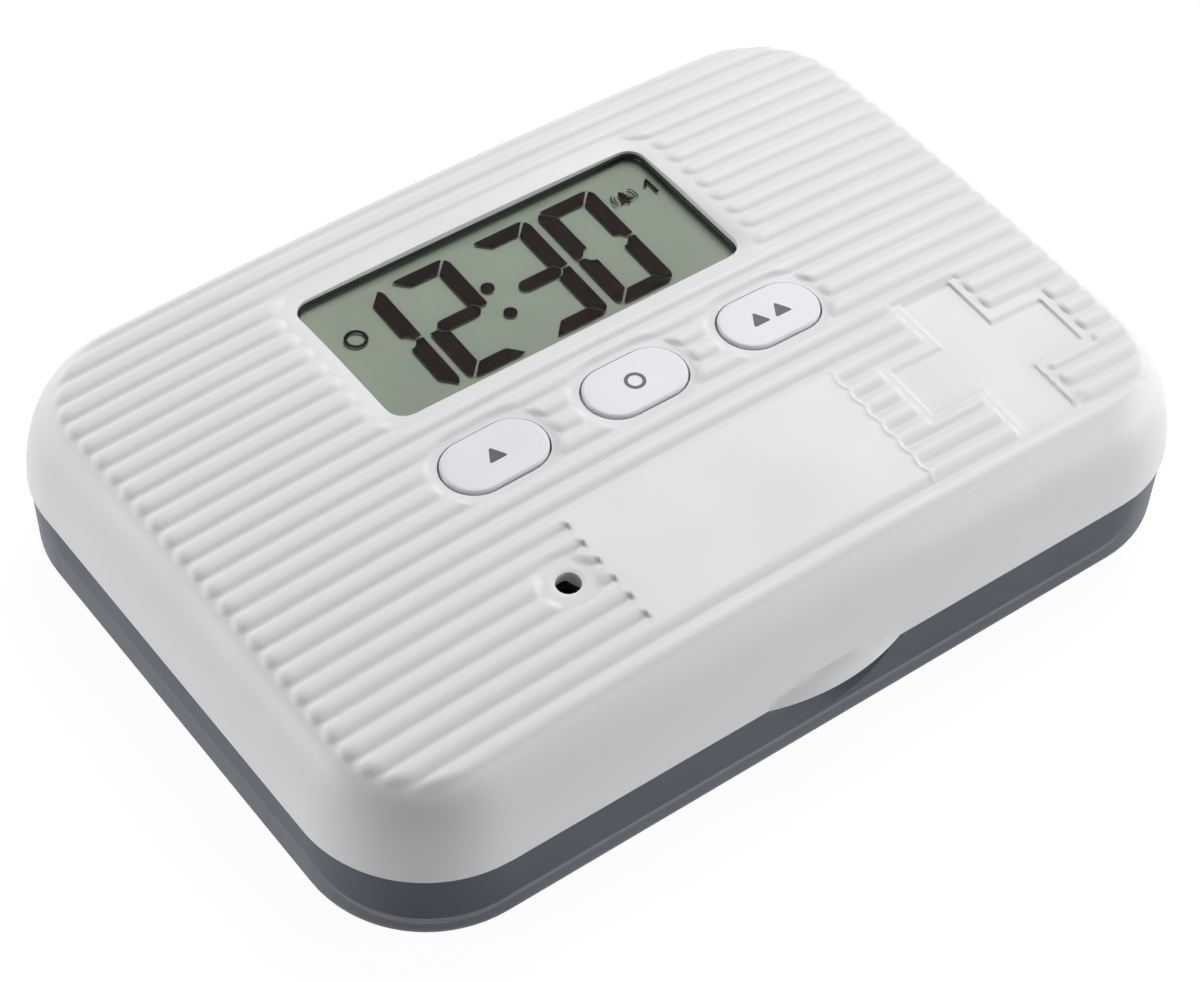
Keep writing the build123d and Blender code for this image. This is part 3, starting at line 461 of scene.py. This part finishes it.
def groove_offset(y):
    """How far a point is from the middle of its groove, which lies half a pitch from the bead's."""
    return (y - BEAD_FIRST) % BEAD_PITCH - BEAD_PITCH / 2


def pad_edge(x, y):
    """Signed distance past the label pad's side: small round cups on the left, wide scallops on the right."""
    side = np.abs(x - LABEL[0]) - LABEL_HALF[0]
    cups = CUP - np.hypot(side, groove_offset(y))
    scallops = SCALLOP - np.hypot(side - SCALLOP_SHIFT, groove_offset(y))
    return np.where(x < LABEL[0], np.maximum(side, cups), np.maximum(side - 1.0, scallops))


# %% Height of the lid
def bead_section(away):
    """Height of a bead at a distance from its crest line: a circle's cap, BEAD_HALF to each side."""
    radius = (BEAD_HALF**2 + BEAD_RISE**2) / (2 * BEAD_RISE)
    return np.maximum(np.sqrt(np.maximum(radius**2 - away**2, 0)) - radius + BEAD_RISE, 0)


def bead_height(x, y):
    """A row of beads. An end falls by the same cap, over a run that is softer at the large shapes."""
    row = np.clip(np.round((BEAD_FIRST - y) / BEAD_PITCH), 0, BEAD_COUNT - 1)
    across = y - (BEAD_FIRST - row * BEAD_PITCH)
    room = np.minimum.reduce([
        (lid_distance(x, y) - BEAD_END) / 1.1,
        (window_distance(x, y) - 1.8) / 1.6,
        (key_distance(x, y) - 1.1) / 0.8,
        (hole_distance(x, y) - 3.1) / 1.0,
        cross_distance(x, y, CROSS_BAND, CROSS_FRONT) / 0.62,
    ])
    stop = np.clip(1 - room, 0, 2) * BEAD_HALF
    return bead_section(np.hypot(across, stop))


def pad_height(x, y):
    """The label pad: bead-high, falling like a bead at front and back, with cups at its side edges."""
    front = np.maximum(BEAD_PITCH / 2 - LABEL_HALF[1] + np.abs(y - LABEL[1]), 0)
    edge = pad_edge(x, y)
    soft = np.where(x > LABEL[0], 0.34, 0.16)
    rim = np.where(x > LABEL[0], RIM_RISE * smooth(edge, -0.75, -0.4) * (1 - smooth(edge, -0.34, 0.1)), 0)
    return bead_section(front) * (1 - smooth(edge, -soft, 0.06) + rim)


def lid_height(x, y):
    """Height of the lid's skin: elliptic shoulder, crown, beads, pad, cross and window slope."""
    inside = np.clip(SHOULDER_IN - lid_distance(x, y), 0, SHOULDER_IN) / SHOULDER_IN
    top = crown(x, y)
    height = SHOULDER_FOOT + (top - SHOULDER_FOOT) * np.sqrt(1 - inside**2)
    height = height + np.maximum(bead_height(x, y), pad_height(x, y))
    height = height - CROSS_DEPTH * (1 - smooth(cross_distance(x, y), -0.08, 0.08))
    slope = np.clip(1 - window_distance(x, y) / 2.3, 0, 1)
    edge = np.minimum(top - 0.25, 24.3)
    height = height - (top - edge) * slope**1.6
    height = height - 0.12 * (1 - smooth(key_distance(x, y), 0.3, 1.2))
    return height - 0.1 * (1 - smooth(hole_distance(x, y), HOLE_RADIUS, 2.0))


# %% Grid of the lid
EDGE_IN = 1.6  # the sculpted sheet ends this far in, and the rings take over
X_MARKS = [-56, -27.4, -26.7, -24.9, -21.9, -19.6, -19.0, -12.6, -11.6, -8, -6.9, 6.9, 8, 11.6, 12.6, 19.4, 20.1, 20.8,
           24.8, 25.9, 27.1, 32.7, 33.75, 41.45, 42.5, 49.3, 50.35, 55.2]
Y_MARKS = [-35.2, -32.75, -27.35, -25.5, -22.5, -19.65, -15.85, -11.8, -10.0, -8.75, -0.55, 0.7, 4.1, 6.4, 29.0, 31.3]


def lid_grid():
    """Plan points: rows of constant y, each stretched to the outline's half width at that y."""
    end = CORE + CORNER - EDGE_IN
    columns = spaced(-end[0], end[0], X_MARKS, 0.14, 1.1, 0.42)
    rows = np.concatenate([
        spaced(-end[1], -40.0, [], 0.12, 0.4, 0.3)[:-1],
        spaced(-40.0, 40.0, Y_MARKS, 0.22, 0.27, 0.3),
        -spaced(-end[1], -40.0, [], 0.12, 0.4, 0.3)[::-1][1:],
    ])
    reach = np.maximum(np.abs(rows) - CORE[1], 0)
    width = CORE[0] + np.sqrt((CORNER - EDGE_IN) ** 2 - reach**2)
    x = columns[:, None] / end[0] * width[None, :]
    y = np.broadcast_to(rows, x.shape)
    return x, y.copy()


OPENING_CENTRES = (WINDOW, *KEY_CENTRES, HOLE)


def opening_distances(x, y):
    """Signed distances to what goes right through: the window, the three key holes, the sound hole."""
    keys = [rounded_box(x, y, centre, KEY_HALF + KEY_GAP, KEY_HALF[1] + KEY_GAP) for centre in KEY_CENTRES]
    return np.array([window_distance(x, y), *keys, hole_distance(x, y) - HOLE_RADIUS])


def openings(x, y):
    """Signed distance to the nearest opening."""
    return opening_distances(x, y).min(axis=0)


def snap_to_openings(x, y):
    """Cut the cells inside an opening, and move the points round the cut onto its outline."""
    middle = (x[1:, 1:] + x[:-1, :-1]) / 2, (y[1:, 1:] + y[:-1, :-1]) / 2
    keep = openings(*middle) > 0
    kept = np.zeros(x.shape, bool)
    cut = np.zeros(x.shape, bool)
    for di in (0, 1):
        for dj in (0, 1):
            corner = (slice(di, x.shape[0] - 1 + di), slice(dj, x.shape[1] - 1 + dj))
            kept[corner] |= keep
            cut[corner] |= ~keep
    rim = kept & cut
    tiny = 1e-4
    for _ in range(4):
        here = openings(x[rim], y[rim])
        slope_x = (openings(x[rim] + tiny, y[rim]) - openings(x[rim] - tiny, y[rim])) / (2 * tiny)
        slope_y = (openings(x[rim], y[rim] + tiny) - openings(x[rim], y[rim] - tiny)) / (2 * tiny)
        x[rim] -= here * slope_x
        y[rim] -= here * slope_y
    return keep, rim


# %% Build the cover
WALL = 1.5
WINDOW_SEAT = 23.3
SIDE_LEVELS = 17
LIP_HALF = 9.5
LIP_OUT = 1.6
LIP_EDGE = 0.7


def lip_push(x, height, outward):
    """How far the thumb lip stands out: a circular lens in plan that fades up the front wall."""
    radius = (LIP_HALF**2 + LIP_OUT**2) / (2 * LIP_OUT)
    lens = np.sqrt(np.maximum(radius**2 - x**2, 0)) - radius + LIP_OUT
    lens = np.where(outward[:, 1] < -0.99, np.maximum(lens, 0), 0)
    above = np.maximum(height - LID_BASE - LIP_EDGE, 0)
    return np.maximum(lens - above * 1.15, 0)


HINGE_X = (-32.0, 32.0)
HINGE = np.array([43.5, 11.1])
KNUCKLE_RADIUS = 2.4
KNUCKLE_WIDTH = 8.0
LEAF_TOP = 17.1
LEAF_FOOT = 42.6
LEAF_WALL = 41.9
PIN_HOLE = 0.86


def knuckle_outline(inset):
    """The knuckle's section in Y and Z: most of a circle, then up the wall as a narrow web."""
    angle = np.radians(np.linspace(16, -180, 34))
    arc = HINGE + (KNUCKLE_RADIUS - inset) * np.stack([np.cos(angle), np.sin(angle)], axis=-1)
    web = np.array([[LEAF_WALL, HINGE[1] + 1], [LEAF_WALL, LEAF_TOP - inset], [LEAF_FOOT - inset, LEAF_TOP - inset]])
    slope = np.linspace(web[2], arc[0], 9)[1:-1]
    return np.concatenate([arc, web, slope])


def add_knuckle(sheets, hinge_x):
    """One hinge knuckle: its section carried along X, drawn in a little at the ends, with a pin hole."""
    half = KNUCKLE_WIDTH / 2
    stations = [(-half, 0.35), (-half + 0.1, 0.12), (-half + 0.35, 0.0), (half - 0.35, 0.0), (half - 0.1, 0.12), (half, 0.35)]
    skin = np.stack([np.insert(knuckle_outline(inset), 0, hinge_x + along, axis=1) for along, inset in stations])
    sheets.add_grid(skin, closed=True, flip=True)
    angle = np.radians(np.arange(0, 360, 15))
    hole = HINGE + PIN_HOLE * np.stack([np.cos(angle), np.sin(angle)], axis=-1)
    bore = np.stack([np.insert(hole, 0, hinge_x + along, axis=1) for along in (-half, half)])
    sheets.add_grid(bore, closed=True, flip=True)
    for end, bore_loop, outward in ((skin[0], bore[0], -1), (skin[-1], bore[-1], 1)):
        fill_loops(sheets, [end[:, [1, 2, 0]], bore_loop[:, [1, 2, 0]]], up=outward > 0, order=(2, 0, 1))


def cover_mesh():
    """Sculpted top, openings' walls, side rings, rim and flat inner roof, welded to one skin."""
    sheets = Sheets()
    x, y = lid_grid()
    keep, rim = snap_to_openings(x, y)
    top = np.stack([x, y, lid_height(x, y)], axis=-1)
    sheets.add_grid(top, flip=True, keep=keep)
    border = np.concatenate([top[:, 0], top[-1, 1:], top[-2::-1, -1], top[0, -2:0:-1]])
    core = np.clip(border[:, :2], -CORE, CORE)
    outward = border[:, :2] - core
    outward = outward / np.linalg.norm(outward, axis=1, keepdims=True)
    start = np.arccos(1 - EDGE_IN / SHOULDER_IN)
    foot = np.arcsin((LID_BASE - SHOULDER_FOOT) / (crown(*(core + outward * CORNER).T) - SHOULDER_FOOT))
    share = np.linspace(0, 1, SIDE_LEVELS)[:, None] ** 0.9
    angle = start + (foot - start) * share
    plan = core + outward * (CORNER - SHOULDER_IN * (1 - np.cos(angle)))[..., None]
    height = SHOULDER_FOOT + (crown(plan[..., 0], plan[..., 1]) - SHOULDER_FOOT) * np.sin(angle)
    height[-1] = LID_BASE
    side = with_height(plan, height)
    side[0] = border
    push = np.stack([lip_push(border[:, 0], level, outward) for level in height])
    side[..., :2] += push[..., None] * outward
    inner_plan = ring_plan((core, outward), CORNER, [WALL, 2.6, 7.2])
    roof = crown(inner_plan[2, :, 0], inner_plan[2, :, 1]) - WALL
    full = np.ones(len(border))
    inner = with_height(inner_plan, np.stack([LID_BASE * full, 17.0 * full, roof]))
    sheets.add_grid(np.concatenate([side, inner]), closed=True, flip=True)
    loops = [inner[-1]]
    nearest = np.abs(opening_distances(x, y)).argmin(axis=0)
    for index, centre in enumerate(OPENING_CENTRES):
        loop = top[rim & (nearest == index)]
        loop = loop[np.argsort(np.arctan2(loop[:, 1] - centre[1], loop[:, 0] - centre[0]))]
        low = loop.copy()
        low[:, 2] = WINDOW_SEAT if index == 0 else crown(low[:, 0], low[:, 1]) - WALL
        sheets.add_grid(np.stack([loop, low]), closed=True)
        loops.append(low)
    fill_loops(sheets, loops, up=False)
    for hinge_x in HINGE_X:
        add_knuckle(sheets, hinge_x)
    return sheets.mesh("cover_shell")


cover = make_piece("cover_shell", cover_mesh(), "lid", white_plastic, ["lid_cover"], sharp=38)

# %% [markdown]
# ## The display
#
# Behind the window lies a liquid crystal display: a grey-green reflector, dark segments a little
# above it and a clear lens. A thin black frame lines the window. The frame is one profile carried
# round a rounded rectangle, and the segments are thin plates that throw real shadows on the
# reflector. The digits come from seven segment shapes, moved and leaned a little to the right.

# %% Frame and lens
FRAME_PROFILE = (  # inset from the window's edge, height
    (-1.65, 22.52), (-1.65, 23.28), (0.02, 23.28), (0.02, 23.42), (0.05, 23.46), (0.12, 23.46),
    (0.16, 23.42), (0.24, 23.3), (0.3, 23.12), (-1.15, 23.12), (-1.15, 22.52),
)
LENS_PROFILE = ((-0.95, 22.54), (-0.95, 23.0), (-0.87, 23.08))


def frame_mesh():
    """The window's lining: its closed profile as rings round the window's rounded rectangle."""
    insets, heights = np.array(FRAME_PROFILE).T
    plan = ring_plan(round_path(WINDOW, WINDOW_HALF, WINDOW_CORNER), WINDOW_CORNER, insets)
    rings = with_height(plan, heights[:, None])
    sheets = Sheets()
    sheets.add_grid(np.concatenate([rings, rings[:1]]), closed=True)
    return sheets.mesh("display_frame")


def lens_mesh():
    """A flat clear plate with a small bevel, as rings, closed by a flat face above and below."""
    insets, heights = np.array(LENS_PROFILE).T
    plan = ring_plan(round_path(WINDOW, WINDOW_HALF, WINDOW_CORNER, side_steps=1), WINDOW_CORNER, insets)
    rings = with_height(plan, heights[:, None])
    sheets = Sheets()
    sheets.add_grid(rings, closed=True)
    fill_loops(sheets, [rings[-1]], up=True)
    fill_loops(sheets, [rings[0]], up=False)
    return sheets.mesh("clear_lens")


make_piece("display_frame", frame_mesh(), "lid", black_plastic, ["display_bezel"])
make_piece("clear_lens", lens_mesh(), "lid", clear_plastic, ["display_lens"], sharp=20)

# %% Segments
DIGIT_HALF = (4.2, 9.2)
STROKE = (2.2, 1.9)  # of the upright and of the level segments
LEAN = 0.03
DIGIT_Y = 17.57
MIDDLE = -0.2  # the middle segment lies this far above the digit's middle
BAR_HALF = 2.95
BAR_RADIUS = 0.92
NOTCH = 1.12
DIGITS = ((-18.6, "bc"), (-9.2, "abged"), (2.45, "abgcd"), (12.12, "abcdef"))
LCD_LOW = 22.76
LCD_HIGH = 22.80


def arc(centre, radius, start, end, count=9):
    """Points of an arc from start to end degrees."""
    angle = np.radians(np.linspace(start, end, count))
    return np.array(centre) + radius * np.stack([np.cos(angle), np.sin(angle)], axis=-1)


def segment_outline(letter):
    """One segment about the digit's middle. All come from the top, the upper right and the bar."""
    width, height = DIGIT_HALF
    stroke_x, stroke_y = STROKE
    if letter == "g":
        reach = BAR_HALF - BAR_RADIUS
        return np.concatenate([arc((reach, MIDDLE), BAR_RADIUS, -90, 90), arc((-reach, MIDDLE), BAR_RADIUS, 90, 270)])
    if letter in "ad":
        side = 1 if letter == "a" else -1
        top = np.array([
            (-width + 1.15, height), (width - 1.15, height), (width - 0.72, height - 0.14),
            (width - stroke_x - 0.14, height - stroke_y), (-width + stroke_x + 0.14, height - stroke_y),
            (-width + 0.72, height - 0.14),
        ])
        return top * (1, side)
    notch = arc((BAR_HALF - BAR_RADIUS, 0), NOTCH, 10, 90, 7)
    upright = np.concatenate([
        [(width, 0.2)], notch, [(width - stroke_x, NOTCH + 0.15), (width - stroke_x, height - stroke_y - 0.2)],
        [(width - 0.5, height - 0.36), (width - 0.12, height - 0.78), (width, height - 1.25)],
    ])
    across = 1 if letter in "bc" else -1
    upward = 1 if letter in "bf" else -1
    upright[:, 1] += upward * MIDDLE * (upright[:, 1] < height / 2)
    return upright * (across, upward)


def level(height):
    """A height function that gives the same height everywhere."""
    return lambda x, y: np.full(np.shape(x), height)


def ring_loops(centre, outer, inner):
    """The two loops of a flat ring."""
    return [arc(centre, outer, 0, 345, 24), arc(centre, inner, 0, 345, 24)]


def bell_outline(centre, size):
    """A plain bell: a round dome that flares to a straight rim, with a knob on top."""
    t = np.linspace(0, 1, 12)
    flare = np.stack([0.42 + 0.58 * t**3, 0.55 - 1.1 * t], axis=-1)
    dome = arc((0, 0.55), 0.42, 5, 75, 6)
    knob = arc((0, 1.05), 0.14, -10, 90, 4)
    right = np.concatenate([flare[::-1], dome, knob])
    outline = np.concatenate([right, right[::-1] * (-1, 1)])
    return np.array(centre) + outline * size


def wave_outline(centre, radius, start, end):
    """A thin curved stroke: an arc out and the next smaller arc back."""
    return np.concatenate([arc(centre, radius, start, end), arc(centre, radius - 0.16, end, start)])


def display_marks():
    """Every dark mark of the display, as loops."""
    marks = []
    for place, letters in DIGITS:
        for letter in letters:
            outline = segment_outline(letter)
            marks.append([outline + np.stack([LEAN * outline[:, 1] + place, np.full(len(outline), DIGIT_Y)], axis=-1)])
    marks += [[arc((-3.55, 19.65), 0.85, 0, 345, 24)], [arc((-3.7, 14.75), 0.85, 0, 345, 24)]]
    marks.append(ring_loops((-21.0, 21.3), 1.45, 1.05))
    bell = (19.1, 22.95)
    marks += [[bell_outline(bell, 1.12)], [arc((bell[0], bell[1] - 0.76), 0.28, 180, 360)]]
    for radius in (1.35, 1.75):
        marks += [[wave_outline(bell, radius, -22, 42)], [wave_outline(bell, radius, 138, 202)]]
    one = np.array([(0.55, -1.2), (0.9, -1.2), (0.9, 1.2), (0.6, 1.2), (-0.1, 0.35), (0.1, 0.1), (0.55, 0.62)])
    marks.append([one * 1.1 + (22.4, 22.95)])
    return marks


def marks_mesh(name, marks, low, high):
    """Thin plates over every mark."""
    sheets = Sheets()
    for loops in marks:
        add_plate(sheets, loops, low, high)
    return sheets.mesh(name)


lcd_mesh = marks_mesh("display_segments", display_marks(), level(LCD_LOW), level(LCD_HIGH))
make_piece("display_segments", lcd_mesh, "lid", lcd_ink)

# %% [markdown]
# ## The keys
#
# Three oblong caps stand just above the cover, each in its own hole. A cap is a stack of rings
# round an oblong: the skirt, a rounded edge, and a top that follows the lid's crown and closes on
# the oblong's middle line. The real keys are printed with words. These get plain marks instead:
# a triangle, a ring and two triangles.

# %% Key caps
KEY_RISE = 0.25
KEY_EDGE = 0.38
KEY_FLANGE = 0.8
KEY_LEDGE = 1.0
KEY_FOOT = 21.0
KEYS = (("hour", -19.6), ("mode", 0.0), ("minute", 19.6))


def key_mesh(name, centre):
    """Rings from the foot over the flange and the rounded edge to the crowned top."""
    reach = abs(centre[0]) + KEY_HALF[0] + KEY_LEDGE
    flange = crown(reach, centre[1]) - WALL - 0.3
    turn = np.radians(np.linspace(0, 90, 8))
    edge_inset = KEY_EDGE * (1 - np.cos(turn))
    edge_drop = KEY_EDGE * (1 - np.sin(turn))
    inner = np.linspace(KEY_EDGE, KEY_HALF[1], 8)[1:]
    low = np.array([(KEY_HALF[1], KEY_FOOT), (1.55, KEY_FOOT), (1.55, flange - KEY_FLANGE),
                    (-KEY_LEDGE, flange - KEY_FLANGE), (-KEY_LEDGE, flange), (0, flange)])
    insets = np.concatenate([low[:, 0], edge_inset, inner])
    drops = np.concatenate([edge_drop, 0 * inner])
    plan = ring_plan(round_path(centre, KEY_HALF, KEY_HALF[1]), KEY_HALF[1], insets)
    top = crown(plan[len(low):, :, 0], plan[len(low):, :, 1]) + KEY_RISE - drops[:, None]
    skirt = np.broadcast_to(low[:, 1:], (len(low), plan.shape[1]))
    sheets = Sheets()
    sheets.add_grid(with_height(plan, np.concatenate([skirt, top])), closed=True)
    return sheets.mesh(name)


def triangle(centre, size):
    """An upright triangle with cut corners."""
    corners = np.array([(-1, -0.75), (1, -0.75), (0, 0.95)]) * size
    before, after = np.roll(corners, 1, axis=0), np.roll(corners, -1, axis=0)
    cut = np.stack([corners + (before - corners) * 0.1, corners + (after - corners) * 0.1], axis=1)
    return np.array(centre) + cut.reshape(-1, 2)


def key_marks(name, centre):
    """Loops of the printed mark of each key."""
    x, y = centre
    if name == "hour":
        return [[triangle(centre, 1.25)]]
    if name == "mode":
        return [ring_loops(centre, 1.3, 0.85)]
    return [[triangle((x - 1.6, y), 1.25)], [triangle((x + 1.6, y), 1.25)]]


def key_skin(offset):
    """Height function of the key tops, moved up by offset."""
    return lambda x, y: crown(x, y) + KEY_RISE + offset


for key_name, key_x in KEYS:
    key_centre = (key_x, KEY_CENTRES[0][1])
    key_body = key_name + "_key"
    make_piece(key_name + "_cap", key_mesh(key_name + "_cap", key_centre), key_body, key_plastic,
               [key_name + "_button"], sharp=50)
    mark_mesh = marks_mesh(key_name + "_mark", key_marks(key_name, key_centre), key_skin(-0.02), key_skin(0.015))
    make_piece(key_name + "_mark", mark_mesh, key_body, print_ink)

# %% [markdown]
# ## Screw heads
#
# With the lid open, four screws show at the corners of its inner cover. A head is a polar grid: its
# face points down and has a cross sunk into it, then a small rim and the plain shank above close it.

# %% Screws
SCREW_SPOTS = ((-50.0, -31.0), (50.0, -31.0), (-50.0, 31.0), (50.0, 31.0))
SCREW_FACE = 11.27
DRIVE = np.array([1.05, 0.3])  # half length and half width of each slot
DRIVE_DEPTH = 0.75
SCREW_SIDES = ((1.82, 11.29), (1.88, 11.36), (1.9, 11.46), (1.9, 12.4), (0.98, 12.42), (0.98, 19.0), (0.6, 19.4), (0, 19.4))


def screw_mesh():
    """Rings round each screw's axis. The face rises by DRIVE_DEPTH where two slots cross."""
    sheets = Sheets()
    turn = np.radians(np.arange(0, 360, 5))
    radius, height = np.array(SCREW_SIDES).T
    radius = np.concatenate([np.linspace(0, 1.75, 26), radius])[:, None]
    x, y = radius * np.cos(turn), radius * np.sin(turn)
    slots = np.minimum(rounded_box(x, y, (0, 0), DRIVE, 0.1), rounded_box(x, y, (0, 0), DRIVE[::-1], 0.1))
    face = SCREW_FACE + DRIVE_DEPTH * (1 - smooth(slots, -0.07, 0.07))
    face[26:] = height[:, None]
    for spot in SCREW_SPOTS:
        sheets.add_grid(np.stack([x + spot[0], y + spot[1], face], axis=-1), closed=True)
    return sheets.mesh("screw_heads")


make_piece("screw_heads", screw_mesh(), "lid", steel, ["cover_screws"], sharp=40)

# %% [markdown]
# ## Floor, world and lamps
#
# The photograph is a product shot on white. The floor is white to the camera and keeps the soft
# shadow, and three large soft lamps light the box: the main one comes from behind, on the right,
# so the far slope of every bead is bright and the near slope is shaded.

# %% Stage
AMBIENT = 0.06
FLOOR_LIFT = 0.9
FLOOR_GLOW = 1.07
LAMPS = (  # name, place, width and height, power
    ("high_lamp", (0.55, 0.45, 0.95), (0.7, 0.7), 11.7),
    ("left_lamp", (-0.92, 0.55, 0.14), (0.8, 0.26), 6.2),
    ("right_lamp", (0.75, -0.75, 0.2), (0.8, 0.3), 6.5),
)


def white_where_seen(tree):
    """A value of 1 for rays from the camera, mirrors and glass, and 0 for the light they gather."""
    path = tree.nodes.new("ShaderNodeLightPath")
    first = tree.nodes.new("ShaderNodeMath")
    first.operation = "MAXIMUM"
    second = tree.nodes.new("ShaderNodeMath")
    second.operation = "MAXIMUM"
    tree.links.new(path.outputs["Is Camera Ray"], first.inputs[0])
    tree.links.new(path.outputs["Is Glossy Ray"], first.inputs[1])
    tree.links.new(first.outputs["Value"], second.inputs[0])
    tree.links.new(path.outputs["Is Transmission Ray"], second.inputs[1])
    return second.outputs["Value"]


def make_world():
    """A white world to the camera and to reflections, and a dimmer one that lights the box."""
    world = bpy.data.worlds.new("studio")
    bpy.context.scene.world = world
    world.use_nodes = True
    tree = world.node_tree
    back = tree.nodes["Background"]
    strength = tree.nodes.new("ShaderNodeMapRange")
    strength.inputs["To Min"].default_value = AMBIENT
    strength.inputs["To Max"].default_value = 1.0
    tree.links.new(white_where_seen(tree), strength.inputs["Value"])
    tree.links.new(strength.outputs["Result"], back.inputs["Strength"])
    back.inputs["Color"].default_value = (1, 1, 1, 1)
    return world


def floor_material():
    """A pale floor whose colour is lifted towards plain white where it is seen; shadows stay."""
    material = bpy.data.materials.new("studio_floor")
    material.use_nodes = True
    tree = material.node_tree
    shader = tree.nodes["Principled BSDF"]
    shader.inputs["Base Color"].default_value = (0.7, 0.7, 0.7, 1)
    shader.inputs["Roughness"].default_value = 0.9
    glow = tree.nodes.new("ShaderNodeEmission")
    glow.inputs["Strength"].default_value = FLOOR_GLOW
    share = tree.nodes.new("ShaderNodeMath")
    share.operation = "MULTIPLY"
    share.inputs[1].default_value = FLOOR_LIFT
    mix = tree.nodes.new("ShaderNodeMixShader")
    link = tree.links.new
    link(white_where_seen(tree), share.inputs[0])
    link(share.outputs["Value"], mix.inputs["Fac"])
    link(shader.outputs["BSDF"], mix.inputs[1])
    link(glow.outputs["Emission"], mix.inputs[2])
    link(mix.outputs["Shader"], tree.nodes["Material Output"].inputs["Surface"])
    return material


def make_floor():
    """A flat square of floor, two metres wide."""
    mesh = bpy.data.meshes.new("floor")
    mesh.from_pydata([(-1, -1, 0), (1, -1, 0), (1, 1, 0), (-1, 1, 0)], [], [(0, 1, 2, 3)])
    mesh.materials.append(floor_material())
    floor = bpy.data.objects.new("floor", mesh)
    bpy.context.scene.collection.objects.link(floor)
    return floor


def soft_lamp(name, place, size, power):
    """A rectangular area lamp that looks at the middle of the box."""
    data = bpy.data.lights.new(name, "AREA")
    data.shape = "RECTANGLE"
    data.size, data.size_y = size
    data.energy = power
    lamp = bpy.data.objects.new(name, data)
    bpy.context.scene.collection.objects.link(lamp)
    lamp.location = place
    lamp.rotation_euler = (Vector((0, 0, 0.02)) - Vector(place)).to_track_quat("-Z", "Y").to_euler()
    return lamp


make_world()
make_floor()
for lamp in LAMPS:
    soft_lamp(*lamp)
bpy.context.scene.view_settings.view_transform = "Standard"
